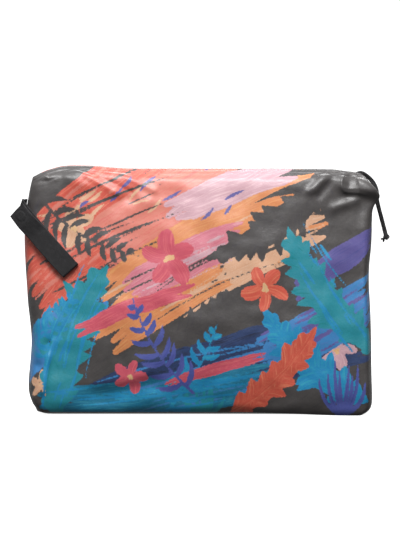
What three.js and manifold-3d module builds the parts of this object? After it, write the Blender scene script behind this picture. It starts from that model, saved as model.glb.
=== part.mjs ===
// A soft zipped pouch that stands on its boxed base: coated cloth body, coil zip along the top, a webbing
// strap with a press snap sewn into the left seam, and a cord pull that hangs over the right corner.
// Millimetres. +X is the pouch's right as seen from the front, -Y its front, +Z up.
// The origin is the middle of the flat base.
import * as THREE from "three";
import { mergeVertices } from "three/addons/utils/BufferGeometryUtils.js";
import Module from "manifold-3d";

// Driving sizes
const bag_width = 330; // side to side, half way up
const bag_height = 234.7; // floor to the highest part of the top edge, nearly
const bag_depth = 90; // front to back at the base
const cloth = 1.2; // wall of the coated cloth
const fit_gap = 0.3; // clearance between touching pieces
const front_lift = 3.5; // the soft bottom edge rises this far at the front left
const back_lift = 2; // and this far along the back
const lift_reach = 20; // width of the rounded edge of the base
const corner_dip = 5; // the right seam's top sinks below the panels' edges, and the cord runs over it

const tape_thickness = 0.6;
const tape_tuck = 11; // how far a tape runs down under its panel
const hem_thickness = 0.9; // of the panel's turned edge, between panel and tape
const coil_width = 5.6; // both rows of teeth, meshed
const coil_height = 2.0;
const zip_sink = 1.6; // tape below the top edge, along most of the zip
const end_sink = 9.6; // the same at the slider, where the right corner sags
const zip_gap = 0.45; // between the teeth, the tapes and the slider's plates
const slider_length = 11;
const slider_width = 8.6;
const slider_plate = 1.2;
const slider_from_end = 16.5; // slider's middle to the right seam
const post_width = 2.4; // of the slider's nose, between the parted tapes
const bridge_wall = 1.2;
const bridge_span = 4.2; // opening of the bridge, along the zip
const bridge_rise = 3.3; // and its height

const strand_diameter = 2.1; // the pull is two strands, laid round each other
const cord_diameter = 4.2;
const knot_width = 6.8;
const knot_length = 7.4;
const tail_length = 6;

const strap_width = 19; // three-quarter inch webbing
const strap_thickness = 1.5;
const strap_length = 76.5; // from its fold at the seam to the fold at its far end
const strap_height = 195.2; // its middle at the seam, above the floor
const strap_slope = 47.5; // degrees that it hangs down from the level
const strap_curve = 82; // radius that the shoulder of the bag bends it to
const strap_out = 5.6; // how far its fold at the seam stands out from the seam
const fold_gap = 0.4; // between its layers at a fold
const snap_diameter = 9.2;
const snap_thickness = 1.5; // of each half
const snap_from_end = 8;

const half_width = bag_width / 2;
const half_depth = bag_depth / 2;

// Numbers of faces
const side_steps = 5; // seam to shoulder
const face_steps = 28; // shoulder to shoulder
const face_grading = 0.55; // 0 even, 1 closest at the shoulders
const strap_steps = 12; // along each run of the strap
const across_steps = 4; // across the strap
const fold_steps = 5; // round each fold of the strap

// The body from level to level, as seen from the front. Level is a share of the height. Left and right are
// how far out the side seams lie, and the rounds the depth of the soft corners beside them, as shares of half
// the width.
const seams = [
  { level: 0, left: 0.951, right: 0.953, leftRound: 0.05, rightRound: 0.045 },
  { level: 0.012, left: 0.959, right: 0.978, leftRound: 0.055, rightRound: 0.045 },
  { level: 0.03, left: 0.975, right: 0.996, leftRound: 0.06, rightRound: 0.045 },
  { level: 0.06, left: 0.991, right: 1.001, leftRound: 0.07, rightRound: 0.045 },
  { level: 0.09, left: 0.999, right: 1.001, leftRound: 0.085, rightRound: 0.045 },
  { level: 0.14, left: 0.998, right: 0.999, leftRound: 0.1, rightRound: 0.045 },
  { level: 0.22, left: 0.988, right: 0.997, leftRound: 0.11, rightRound: 0.045 },
  { level: 0.3, left: 0.982, right: 0.996, leftRound: 0.115, rightRound: 0.045 },
  { level: 0.38, left: 0.99, right: 0.994, leftRound: 0.12, rightRound: 0.045 },
  { level: 0.46, left: 1.002, right: 0.99, leftRound: 0.12, rightRound: 0.045 },
  { level: 0.54, left: 1.009, right: 0.984, leftRound: 0.12, rightRound: 0.045 },
  { level: 0.62, left: 1.016, right: 0.985, leftRound: 0.12, rightRound: 0.045 },
  { level: 0.7, left: 1.021, right: 0.995, leftRound: 0.12, rightRound: 0.045 },
  { level: 0.77, left: 1.022, right: 0.998, leftRound: 0.12, rightRound: 0.045 },
  { level: 0.82, left: 1.018, right: 0.994, leftRound: 0.115, rightRound: 0.045 },
  { level: 0.86, left: 1.012, right: 0.986, leftRound: 0.11, rightRound: 0.045 },
  { level: 0.89, left: 1.006, right: 0.978, leftRound: 0.105, rightRound: 0.045 },
  { level: 0.915, left: 1, right: 0.972, leftRound: 0.1, rightRound: 0.045 },
  { level: 0.94, left: 0.994, right: 0.969, leftRound: 0.09, rightRound: 0.045 },
  { level: 0.965, left: 0.987, right: 0.964, leftRound: 0.08, rightRound: 0.04 },
  { level: 0.985, left: 0.98, right: 0.955, leftRound: 0.07, rightRound: 0.04 },
  { level: 1, left: 0.974, right: 0.947, leftRound: 0.06, rightRound: 0.04 },
];

// The same from the side: wall is where the front and back lie beside the corners, and the crowns are how far
// they swell past that in the middle. Shares of half the depth.
const depths = [
  { level: 0, wall: 0.93, crown: 0, backCrown: 0 },
  { level: 0.012, wall: 0.965, crown: 0.012, backCrown: 0.01 },
  { level: 0.03, wall: 0.985, crown: 0.03, backCrown: 0.03 },
  { level: 0.06, wall: 0.99, crown: 0.05, backCrown: 0.06 },
  { level: 0.09, wall: 0.985, crown: 0.08, backCrown: 0.09 },
  { level: 0.14, wall: 0.965, crown: 0.12, backCrown: 0.13 },
  { level: 0.22, wall: 0.92, crown: 0.17, backCrown: 0.18 },
  { level: 0.3, wall: 0.87, crown: 0.205, backCrown: 0.21 },
  { level: 0.38, wall: 0.81, crown: 0.23, backCrown: 0.23 },
  { level: 0.46, wall: 0.745, crown: 0.245, backCrown: 0.24 },
  { level: 0.54, wall: 0.675, crown: 0.25, backCrown: 0.24 },
  { level: 0.62, wall: 0.605, crown: 0.245, backCrown: 0.235 },
  { level: 0.7, wall: 0.535, crown: 0.23, backCrown: 0.22 },
  { level: 0.77, wall: 0.475, crown: 0.205, backCrown: 0.2 },
  { level: 0.82, wall: 0.43, crown: 0.185, backCrown: 0.18 },
  { level: 0.86, wall: 0.395, crown: 0.165, backCrown: 0.16 },
  { level: 0.89, wall: 0.37, crown: 0.145, backCrown: 0.14 },
  { level: 0.915, wall: 0.35, crown: 0.13, backCrown: 0.125 },
  { level: 0.94, wall: 0.33, crown: 0.11, backCrown: 0.105 },
  { level: 0.965, wall: 0.295, crown: 0.085, backCrown: 0.08 },
  { level: 0.985, wall: 0.21, crown: 0.05, backCrown: 0.045 },
  { level: 1, wall: 0.14, crown: 0, backCrown: 0 },
];

// How far the front and the back swell out past the right seam: shares of half the width.
const cheeks = [
  { level: 0, front: 0.003, back: 0.003 },
  { level: 0.03, front: 0.004, back: 0.006 },
  { level: 0.3, front: 0.002, back: 0.007 },
  { level: 0.54, front: 0, back: 0.01 },
  { level: 0.7, front: 0.002, back: 0.01 },
  { level: 0.79, front: 0.008, back: 0.009 },
  { level: 0.83, front: 0.02, back: 0.008 },
  { level: 0.865, front: 0.04, back: 0.006 },
  { level: 0.895, front: 0.077, back: 0.004 },
  { level: 0.92, front: 0.112, back: 0.003 },
  { level: 0.942, front: 0.122, back: 0.002 },
  { level: 0.965, front: 0.088, back: 0.001 },
  { level: 0.985, front: 0.06, back: 0 },
  { level: 1, front: 0.042, back: 0 },
];

// The top edge: along is a share of half the width, rise a share of the height.
const top_edge = [
  { along: -1.03, rise: 0.952 },
  { along: -0.975, rise: 0.96 },
  { along: -0.93, rise: 0.975 },
  { along: -0.88, rise: 0.989 },
  { along: -0.79, rise: 1.004 },
  { along: -0.64, rise: 1.005 },
  { along: -0.46, rise: 0.995 },
  { along: -0.3, rise: 0.993 },
  { along: 0, rise: 0.993 },
  { along: 0.4, rise: 0.9925 },
  { along: 0.76, rise: 0.99 },
  { along: 0.85, rise: 0.983 },
  { along: 0.92, rise: 0.976 },
  { along: 0.96, rise: 0.969 },
  { along: 1, rise: 0.961 },
  { along: 1.04, rise: 0.947 },
];

// Folds and dents of the front. x and spread are shares of half the width, z of the height,
// out (minus is a dent) of half the depth.
const front_folds = [
  { name: "lower left crease, upper part", x0: -0.87, z0: 0.3, x1: -0.93, z1: 0.2, spread: 0.03, out: -0.05 },
  { name: "lower left crease, lower part", x0: -0.93, z0: 0.2, x1: -0.96, z1: 0.1, spread: 0.03, out: -0.05 },
  { name: "ridge beside that crease", x0: -0.89, z0: 0.24, x1: -0.93, z1: 0.1, spread: 0.025, out: 0.04 },
  { name: "left shoulder fold", x0: -0.93, z0: 0.72, x1: -0.95, z1: 0.4, spread: 0.03, out: -0.035 },
  { name: "top left ridge, outer", x0: -0.76, z0: 0.965, x1: -0.5, z1: 0.9, spread: 0.042, out: 0.045 },
  { name: "top left dent between", x0: -0.68, z0: 0.97, x1: -0.4, z1: 0.88, spread: 0.035, out: -0.03 },
  { name: "top left ridge, inner", x0: -0.58, z0: 0.965, x1: -0.3, z1: 0.87, spread: 0.045, out: 0.04 },
  { name: "top left corner fold", x0: -0.96, z0: 0.958, x1: -0.84, z1: 0.965, spread: 0.025, out: 0.04 },
  { name: "corner ridge, upper part", x0: 0.83, z0: 0.975, x1: 0.82, z1: 0.935, spread: 0.035, out: 0.05 },
  { name: "corner ridge, lower part", x0: 0.85, z0: 0.915, x1: 1.0, z1: 0.91, spread: 0.035, out: 0.05 },
  { name: "crease under the corner", x0: 0.85, z0: 0.875, x1: 1.02, z1: 0.87, spread: 0.035, out: -0.07 },
  { name: "corner puff", x0: 0.93, z0: 0.94, x1: 0.97, z1: 0.94, spread: 0.07, out: 0.06 },
  { name: "corner hollow", x0: 0.88, z0: 0.97, x1: 0.9, z1: 0.955, spread: 0.035, out: -0.04 },
  { name: "fold towards the zip", x0: 0.77, z0: 0.975, x1: 0.67, z1: 0.915, spread: 0.03, out: 0.04 },
  { name: "fold below the corner", x0: 0.9, z0: 0.87, x1: 0.78, z1: 0.84, spread: 0.028, out: 0.035 },
  { name: "right edge", x0: 0.955, z0: 0.8, x1: 0.96, z1: 0.06, spread: 0.03, out: 0.02 },
  { name: "lower left dent", x0: -0.55, z0: 0.08, x1: -0.27, z1: 0.12, spread: 0.09, out: -0.035 },
  { name: "middle dent", x0: -0.1, z0: 0.56, x1: 0.4, z1: 0.5, spread: 0.16, out: -0.03 },
];
const back_folds = [
  { name: "left diagonal", x0: -0.85, z0: 0.28, x1: -0.96, z1: 0.1, spread: 0.035, out: -0.05 },
  { name: "right diagonal", x0: 0.86, z0: 0.3, x1: 0.96, z1: 0.12, spread: 0.035, out: -0.05 },
  { name: "top left ridge", x0: -0.72, z0: 0.96, x1: -0.5, z1: 0.88, spread: 0.045, out: 0.04 },
  { name: "top right ridge", x0: 0.76, z0: 0.96, x1: 0.56, z1: 0.87, spread: 0.045, out: 0.045 },
  { name: "middle dent", x0: -0.35, z0: 0.45, x1: 0.2, z1: 0.52, spread: 0.18, out: -0.035 },
];

// A value between the rows of a table: a smooth curve through column value, read along column key.
function between(table, key, value, at) {
  const last = table.length - 1;
  const t = THREE.MathUtils.clamp(at, table[0][key], table[last][key]);
  let i = 0;
  while (i < last - 1 && t > table[i + 1][key]) i += 1;
  const slope = (k) => {
    const a = table[Math.max(k - 1, 0)];
    const b = table[Math.min(k + 1, last)];
    return (b[value] - a[value]) / (b[key] - a[key]);
  };
  const [p, q] = [table[i], table[i + 1]];
  const step = q[key] - p[key];
  const u = (t - p[key]) / step;
  const u2 = u * u;
  const u3 = u2 * u;
  return (
    (2 * u3 - 3 * u2 + 1) * p[value] +
    (u3 - 2 * u2 + u) * step * slope(i) +
    (3 * u2 - 2 * u3) * q[value] +
    (u3 - u2) * step * slope(i + 1)
  );
}

// How far the folds of a side stand out at a point of it, in millimetres.
function foldsAt(folds, x, z) {
  let out = 0;
  for (const f of folds) {
    const start = new THREE.Vector2(f.x0 * half_width, f.z0 * bag_height);
    const along = new THREE.Vector2(f.x1 * half_width, f.z1 * bag_height).sub(start);
    const from = new THREE.Vector2(x, z).sub(start);
    const t = THREE.MathUtils.clamp(from.dot(along) / along.lengthSq(), 0, 1);
    const away = from.addScaledVector(along, -t).length() / (f.spread * half_width);
    out += f.out * half_depth * Math.exp(-away * away);
  }
  return out;
}

const topAt = (x) => bag_height * between(top_edge, "along", "rise", x / half_width);

// Height of the bottom edge. Toward is -1 at the front and 1 at the back.
function bottomAt(x, toward) {
  const front = front_lift * (1 - THREE.MathUtils.smoothstep(x / half_width, 0.2, 0.9));
  return THREE.MathUtils.lerp(front, back_lift, (toward + 1) / 2);
}

const columns_a_side = 2 * side_steps + face_steps;
const around = 2 * columns_a_side; // front, then back, as one closed ring
const levels = seams.map((s) => s.level);
const corner_fullness = 0.78; // of a corner seen from above: 1 is an ellipse, less is fuller
const crown_fullness = 1.5; // of a panel seen from above: more draws the swell in to the middle
const cheek_rise = 0.7; // how the swell past the seam grows away from it: less is quicker
const cheek_fall = 0.5; // and how it ends at the shoulder
const dip_from = 0.93; // level where the right seam starts to sink
const fold_fade = { foot: 0.04, rim: 0.02 }; // levels over which the folds die out

// A point of the outer skin. Side is -1 for the front and 1 for the back. Column runs from the left seam
// over side_steps to the left shoulder, face_steps to the right shoulder, and side_steps to the right seam.
function skinPoint(side, column, level) {
  const wall = half_depth * between(depths, "level", "wall", level);
  const crown = half_depth * between(depths, "level", side < 0 ? "crown" : "backCrown", level);
  const seamOf = (hand) => half_width * between(seams, "level", hand, level);
  const roundOf = (hand) => half_width * between(seams, "level", `${hand}Round`, level);
  const hand = column < columns_a_side / 2 ? "left" : "right";
  const fromSeam = hand === "left" ? column : columns_a_side - column;
  const onSide = fromSeam < side_steps;
  const turn = Math.min(fromSeam / side_steps, 1) * (Math.PI / 2);
  let x;
  let depth;
  if (onSide) {
    const reach = seamOf(hand) - roundOf(hand) * (1 - Math.cos(turn) ** corner_fullness);
    const cheek = half_width * between(cheeks, "level", side < 0 ? "front" : "back", level);
    const swell = cheek * Math.sin(turn) ** cheek_rise * Math.cos(turn) ** cheek_fall;
    x = hand === "left" ? -reach : reach + swell;
    depth = wall * Math.sin(turn) ** corner_fullness;
  } else {
    const t = (2 * (column - side_steps)) / face_steps - 1;
    const across = (1 - face_grading) * t + face_grading * Math.sin((Math.PI / 2) * t);
    const ends = [roundOf("left") - seamOf("left"), seamOf("right") - roundOf("right")];
    x = THREE.MathUtils.lerp(ends[0], ends[1], (across + 1) / 2);
    depth = wall + crown * (1 - across * across) ** crown_fullness;
  }
  const toward = side * Math.sin(turn);
  const bottom = bottomAt(x, toward);
  const dipping = THREE.MathUtils.smoothstep(level, dip_from, 1) * Math.cos(turn) ** 2;
  const dip = hand === "right" ? corner_dip * dipping : 0;
  const z = THREE.MathUtils.lerp(bottom, topAt(x), level) - dip;
  const ends_fade = Math.min(1, level / fold_fade.foot) * Math.min(1, (1 - level) / fold_fade.rim);
  const fade = ends_fade * Math.sin(turn) ** 2;
  const folds = foldsAt(side < 0 ? front_folds : back_folds, x, z);
  return new THREE.Vector3(x, side * (depth + folds * fade), z);
}

// A closed mesh being built from points and faces.
class Skin {
  constructor() {
    this.points = [];
    this.faces = [];
  }
  add(point) {
    this.points.push(point);
    return this.points.length - 1;
  }
  quad(a, b, c, d) {
    for (const face of [[a, b, c], [a, c, d]]) {
      if (new Set(face).size === 3) this.faces.push(face);
    }
  }
  normals() {
    const sum = this.points.map(() => new THREE.Vector3());
    for (const [a, b, c] of this.faces) {
      const ab = this.points[b].clone().sub(this.points[a]);
      const ac = this.points[c].clone().sub(this.points[a]);
      const normal = ab.cross(ac);
      for (const i of [a, b, c]) sum[i].add(normal);
    }
    return sum.map((n) => n.normalize());
  }
  geometry() {
    const made = new THREE.BufferGeometry();
    const numbers = this.points.flatMap((p) => p.toArray());
    made.setAttribute("position", new THREE.Float32BufferAttribute(numbers, 3));
    made.setIndex(this.faces.flat());
    return made;
  }
}

// The walls' outer skin, from ring to ring.
function outerSkin() {
  const skin = new Skin();
  const ringPoint = (k, level) => {
    return k <= columns_a_side ? skinPoint(-1, k, level) : skinPoint(1, around - k, level);
  };
  const rings = levels.map((level) => {
    return Array.from({ length: around }, (_, k) => skin.add(ringPoint(k, level)));
  });
  for (let j = 0; j + 1 < rings.length; j += 1) {
    for (let k = 0; k < around; k += 1) {
      const next = (k + 1) % around;
      skin.quad(rings[j][k], rings[j][next], rings[j + 1][next], rings[j + 1][k]);
    }
  }
  return { skin, rings };
}

const { skin: outer, rings: outerRings } = outerSkin();
const outerNormals = outer.normals();

// The body as a wall of cloth: the outer skin, the same skin moved in, and the two rims that join them.
function bodyGeometry() {
  const shell = new Skin();
  outer.points.forEach((p) => shell.add(p));
  outer.points.forEach((p, i) => shell.add(p.clone().addScaledVector(outerNormals[i], -cloth)));
  const shift = outer.points.length;
  for (const [a, b, c] of outer.faces) shell.faces.push([a, b, c], [a + shift, c + shift, b + shift]);
  const rim = outerRings[outerRings.length - 1];
  const foot = outerRings[0];
  for (let k = 0; k < around; k += 1) {
    const next = (k + 1) % around;
    shell.quad(rim[k], rim[next], rim[next] + shift, rim[k] + shift);
    shell.quad(foot[next], foot[k], foot[k] + shift, foot[next] + shift);
  }
  return shell.geometry();
}

// The base panel, between the walls. Its short ends close onto them as boxed corners, and its edge is rounded
// up by the lift.
function baseGeometry() {
  const inset = cloth + fit_gap;
  const edge = outerRings[0].map((i) => {
    const inward = outerNormals[i].clone().setZ(0).normalize();
    return outer.points[i].clone().addScaledVector(inward, -inset);
  });
  const rows = 2 * side_steps;
  const under = Array.from({ length: rows + 1 }, (_, j) => {
    const left = edge[(side_steps - j + around) % around];
    const right = edge[side_steps + face_steps + j];
    return Array.from({ length: face_steps + 1 }, (_, i) => {
      if (i === 0) return left;
      if (i === face_steps) return right;
      if (j === 0) return edge[side_steps + i];
      if (j === rows) return edge[around - side_steps - i];
      const near = edge[side_steps + i];
      const y = THREE.MathUtils.lerp(left.y, right.y, i / face_steps);
      const inside = Math.min(near.x - left.x, right.x - near.x, Math.abs(near.y) - Math.abs(y));
      const toward = Math.sign(y) * Math.abs(y / near.y) ** (1 / corner_fullness);
      const lift = bottomAt(near.x, toward) * Math.max(0, 1 - inside / lift_reach) ** 2;
      return new THREE.Vector3(near.x, y, lift);
    });
  });
  const over = under.map((row) => row.map((p) => p.clone().setZ(p.z + cloth)));
  return plateGeometry(over, under);
}

// A point at some depth under the outer skin, between two of its rings.
function underSkin(side, column, level, depth) {
  const k = side < 0 ? column : (around - column) % around;
  let j = 0;
  while (j < levels.length - 2 && level > levels[j + 1]) j += 1;
  const share = (level - levels[j]) / (levels[j + 1] - levels[j]);
  const ends = [outerRings[j][k], outerRings[j + 1][k]].map((i) => {
    return outer.points[i].clone().addScaledVector(outerNormals[i], -depth);
  });
  return ends[0].lerp(ends[1], share);
}

// Two grids of points, one over the other, closed into a solid. Each is a list of rows.
function plateGeometry(over, under) {
  const skin = new Skin();
  const [rows, count] = [over.length, over[0].length];
  const top = over.map((row) => row.map((p) => skin.add(p)));
  const foot = under.map((row) => row.map((p) => skin.add(p)));
  for (let j = 0; j + 1 < rows; j += 1) {
    for (let i = 0; i + 1 < count; i += 1) {
      skin.quad(top[j][i], top[j][i + 1], top[j + 1][i + 1], top[j + 1][i]);
      skin.quad(foot[j][i], foot[j + 1][i], foot[j + 1][i + 1], foot[j][i + 1]);
    }
    skin.quad(foot[j][0], top[j][0], top[j + 1][0], foot[j + 1][0]);
    skin.quad(top[j][count - 1], foot[j][count - 1], foot[j + 1][count - 1], top[j + 1][count - 1]);
  }
  for (let i = 0; i + 1 < count; i += 1) {
    skin.quad(foot[0][i], foot[0][i + 1], top[0][i + 1], top[0][i]);
    skin.quad(top[rows - 1][i], top[rows - 1][i + 1], foot[rows - 1][i + 1], foot[rows - 1][i]);
  }
  return skin.geometry();
}

// The zip

const slider_x = half_width * between(seams, "level", "right", 1) - slider_from_end;

const sag_from = 0.3; // where the zip starts to sag, and where it is down: shares of the way to the slider
const sag_to = 0.9;

// Height of the tape's top face: just under the top edge, and sunk and level where the right corner sags.
function zipAt(x) {
  const sag = THREE.MathUtils.smoothstep(x / slider_x, sag_from, sag_to);
  return THREE.MathUtils.lerp(topAt(x) - zip_sink, topAt(slider_x) - end_sink, sag);
}

// Half of the way between the two tapes: they part round the slider's post and stay apart past it.
function partAt(x) {
  const parted = THREE.MathUtils.smoothstep(x, slider_x - slider_length / 2, slider_x - slider_length / 6);
  return THREE.MathUtils.lerp(fit_gap / 2, post_width / 2 + fit_gap, parted);
}

const tape_left_steps = 3; // columns between the left seam and the tapes
const tape_right_steps = 5; // and at the right seam
const coil_steps = 26; // along the teeth
const tuck_shares = [1, 0.67, 0.33, 0]; // rows of the tape under its panel

// One tape: tucked under its panel, out over the slot and in to the teeth.
function tapeGeometry(side) {
  const over = [];
  const under = [];
  for (let column = tape_left_steps; column <= columns_a_side - tape_right_steps; column += 1) {
    const depth = cloth + hem_thickness + fit_gap;
    const rim = underSkin(side, column, 1, depth);
    const z = Math.min(zipAt(rim.x), rim.z - zip_sink);
    const tucked = tuck_shares.map((share) => {
      return underSkin(side, column, (z - share * tape_tuck) / rim.z, depth);
    });
    const leave = tucked[tucked.length - 1];
    const inner_z = Math.min(zipAt(leave.x), leave.z + zip_sink);
    const line = [...tucked, new THREE.Vector3(leave.x, side * partAt(leave.x), inner_z)];
    over.push(line);
    under.push(
      line.map((p, i) => {
        const a = line[Math.max(i - 1, 0)];
        const b = line[i + 1];
        const along = b ? new THREE.Vector2(b.y - a.y, b.z - a.z).normalize() : new THREE.Vector2(-side, 0);
        const inward = new THREE.Vector3(0, -side * along.y, side * along.x);
        return p.clone().addScaledVector(inward, tape_thickness);
      }),
    );
  }
  return side < 0 ? plateGeometry(over.reverse(), under.reverse()) : plateGeometry(over, under);
}

// The meshed teeth, as one low bar on the tapes that ends inside the slider.
function coilGeometry() {
  const end = slider_x - slider_length / 6;
  const start = underSkin(-1, tape_left_steps, 1, cloth).x + coil_width;
  const xs = Array.from({ length: coil_steps }, (_, n) => THREE.MathUtils.lerp(start, end, n / coil_steps));
  const profile = [
    { out: -1, up: 0.25 },
    { out: -0.8, up: 0 },
    { out: 0.8, up: 0 },
    { out: 1, up: 0.25 },
    { out: 1, up: 0.7 },
    { out: 0.62, up: 1 },
    { out: -0.62, up: 1 },
    { out: -1, up: 0.7 },
  ];
  const skin = new Skin();
  const rings = [...xs, end].map((x) => {
    const foot = zipAt(x) + zip_gap;
    return profile.map(({ out, up }) => {
      return skin.add(new THREE.Vector3(x, (out * coil_width) / 2, foot + up * coil_height));
    });
  });
  const count = profile.length;
  for (let j = 0; j + 1 < rings.length; j += 1) {
    for (let k = 0; k < count; k += 1) {
      const next = (k + 1) % count;
      skin.quad(rings[j][k], rings[j][next], rings[j + 1][next], rings[j + 1][k]);
    }
  }
  for (let k = 1; k + 1 < count; k += 1) {
    const last = rings[rings.length - 1];
    skin.faces.push([rings[0][0], rings[0][k + 1], rings[0][k]], [last[0], last[k], last[k + 1]]);
  }
  return skin.geometry();
}

const wasm = await Module();
wasm.setup();

// A closed three.js geometry as a solid that can be joined and cut.
function solid(geometry) {
  const bare = geometry.index ? geometry.clone() : mergeVertices(geometry.clone());
  bare.deleteAttribute("normal");
  bare.deleteAttribute("uv");
  const merged = mergeVertices(bare, 1e-4);
  return new wasm.Manifold(
    new wasm.Mesh({
      numProp: 3,
      vertProperties: new Float32Array(merged.attributes.position.array),
      triVerts: new Uint32Array(merged.index.array),
    }),
  );
}

function fromSolid(body) {
  const { vertProperties, triVerts } = body.getMesh();
  const made = new THREE.BufferGeometry();
  made.setAttribute("position", new THREE.BufferAttribute(Float32Array.from(vertProperties), 3));
  made.setIndex(Array.from(triVerts));
  return made;
}

function block(length, width, height, x, y, z) {
  return solid(new THREE.BoxGeometry(length, width, height).translate(x, y, z));
}

// Heights of the slider, above the top face of the tape.
const slider_top = 2 * zip_gap + coil_height + slider_plate;
const bridge_top = slider_top + bridge_rise + bridge_wall;
const slider_foot = -tape_thickness - zip_gap - slider_plate;

const tail_share = 0.84; // of the slider's width, at its tail
const nose_share = 0.3; // and at the tip of its nose
const nose_from = 0.2; // where the nose's rounding starts, as a share of half the length
const post_share = 0.25; // of the slider's length, the post in the nose
const flange_share = 0.6; // of the slider's length, and of the room beside the teeth
const flange_back = 0.1; // how far the flanges lie behind the middle, as a share of the length
const flange_wall = 0.7; // of a plate's thickness

// A slider plate: square at its tail, rounded towards the nose.
function sliderPlate(bottom) {
  const [l, w] = [slider_length / 2, slider_width / 2];
  const shape = new THREE.Shape();
  shape.moveTo(-l, -w * tail_share);
  shape.lineTo(l * nose_from, -w);
  shape.quadraticCurveTo(l, -w, l, -w * nose_share);
  shape.lineTo(l, w * nose_share);
  shape.quadraticCurveTo(l, w, l * nose_from, w);
  shape.lineTo(-l, w * tail_share);
  shape.closePath();
  const settings = { depth: slider_plate, bevelEnabled: false, curveSegments: 4 };
  const plate = new THREE.ExtrudeGeometry(shape, settings);
  return solid(plate.translate(0, 0, bottom));
}

// The slider, about its own middle on the tape's top face: two plates joined by the post in its nose,
// flanges beside the teeth, and the bridge that holds the pull.
function sliderGeometry() {
  const post_length = slider_length * post_share;
  const flange_height = (coil_height + fit_gap) * flange_share;
  const flange_thickness = slider_plate * flange_wall;
  const bridge_foot = slider_top - slider_plate / 2;
  const leg_height = bridge_top - bridge_foot;
  const leg_at = (bridge_span + bridge_wall) / 2;
  const parts = [
    sliderPlate(slider_foot),
    sliderPlate(slider_top - slider_plate),
    block(
      post_length,
      post_width,
      slider_top - slider_foot - slider_plate,
      slider_length / 2 - post_length / 2 - slider_plate / 2,
      0,
      (slider_top + slider_foot) / 2,
    ),
    ...[-1, 1].map((side) =>
      block(
        slider_length * flange_share,
        flange_thickness,
        flange_height,
        -slider_length * flange_back,
        side * (slider_width / 2 - flange_thickness),
        slider_top - slider_plate / 2 - flange_height / 2,
      ),
    ),
    ...[-1, 1].map((end) =>
      block(bridge_wall, bridge_wall * 2, leg_height, end * leg_at, 0, bridge_foot + leg_height / 2),
    ),
    block(bridge_span + 2 * bridge_wall, bridge_wall * 2, bridge_wall, 0, 0, bridge_top - bridge_wall / 2),
  ];
  return fromSolid(parts.reduce((sum, part) => sum.add(part))).translate(slider_x, 0, zipAt(slider_x));
}

// The cord pull

const bridge_z = zipAt(slider_x) + slider_top + bridge_rise / 2;
const cord_start = slider_x + bridge_span / 2 + bridge_wall + strand_diameter * 1.5;

// Where the pull runs, from the slider over the seam's top and down outside the corner: x, y, z.
const cord_route = [
  [cord_start, 0, bridge_z],
  [148.0, 0, 227.6],
  [149.8, 0.1, 228.6],
  [152.3, 0.4, 229.5],
  [155.1, 0.9, 229.5],
  [158.2, 1.6, 228.2],
  [161.1, 2.4, 226.1],
  [163.7, 3.1, 223.6],
  [166.1, 3.7, 220.9],
  [168.1, 4.1, 217.6],
  [169.5, 4.3, 213.9],
  [170.1, 4.3, 209.9],
  [170.2, 4.3, 205.8],
  [170.6, 4.2, 201.7],
  [171.8, 4.2, 196.5],
  [173.3, 4.2, 190.9],
  [174.9, 4.2, 184.9],
  [176.6, 4.2, 178.5],
  [178.3, 4.2, 171.9],
].map(([x, y, z]) => new THREE.Vector3(x, y, z));

function tubeGeometry(points, diameter, sides, steps) {
  const section = new THREE.Shape();
  section.absarc(0, 0, diameter / 2, 0, 2 * Math.PI);
  return new THREE.ExtrudeGeometry(section, {
    extrudePath: new THREE.CatmullRomCurve3(points),
    steps,
    curveSegments: sides / 2, // an arc takes two for each
  });
}

// The loop of one strand round the near leg of the bridge, which the two strands of the cord carry on.
function loopGeometry() {
  const beside = bridge_wall + 3 * fit_gap + strand_diameter / 2;
  const end = cord_start - 2.4 * fit_gap;
  const inside = slider_x + bridge_span / 2 - 1.7 * fit_gap - strand_diameter / 2;
  const half = [
    { x: end, y: strand_diameter / 2 + fit_gap / 2 },
    { x: end - strand_diameter * 0.6, y: strand_diameter * 0.8 },
    { x: slider_x + bridge_span / 2 + bridge_wall, y: beside },
    { x: inside + strand_diameter * 0.4, y: beside },
    { x: inside, y: beside * 0.45 },
  ];
  const back = half.map(({ x, y }) => ({ x, y: -y })).reverse();
  const points = [...half, ...back].map(({ x, y }) => new THREE.Vector3(x, y, bridge_z));
  return tubeGeometry(points, strand_diameter, 8, 28);
}

const tails_from = 0.55; // where they leave the knot, as a share of its length
const tails_apart = 0.9; // from its middle, to the front and to the back
const tail_thickness = 0.9; // as a share of a strand's

// The knot, with the two tails of the strands below it.
function knotGeometry() {
  const end = cord_route[cord_route.length - 1];
  const run = end.clone().sub(cord_route[cord_route.length - 2]).normalize();
  const profile = [
    { out: 0, along: 0 },
    { out: 0.55, along: 0.02 },
    { out: 0.85, along: 0.16 },
    { out: 1, along: 0.4 },
    { out: 0.96, along: 0.62 },
    { out: 0.7, along: 0.86 },
    { out: 0.4, along: 0.98 },
    { out: 0, along: 1 },
  ].map(({ out, along }) => new THREE.Vector2((out * knot_width) / 2, along * knot_length));
  const turn = new THREE.Quaternion().setFromUnitVectors(new THREE.Vector3(0, 1, 0), run);
  const from = end.clone().addScaledVector(run, fit_gap);
  const ball = new THREE.LatheGeometry(profile, 12).applyQuaternion(turn).translate(...from.toArray());
  const tails = [
    { lean: -0.95, down: -0.45, side: -1 },
    { lean: -0.5, down: -0.85, side: 1 },
  ].map(({ lean, down, side }) => {
    const root = from.clone().addScaledVector(run, knot_length * tails_from).setY(from.y + side * tails_apart);
    const tip = root.clone().addScaledVector(new THREE.Vector3(lean, 0, down).normalize(), tail_length);
    const line = [root, root.clone().lerp(tip, 0.5), tip];
    return solid(tubeGeometry(line, strand_diameter * tail_thickness, 8, 3));
  });
  return fromSolid(tails.reduce((sum, tail) => sum.add(tail), solid(ball)));
}

// The strap

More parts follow.
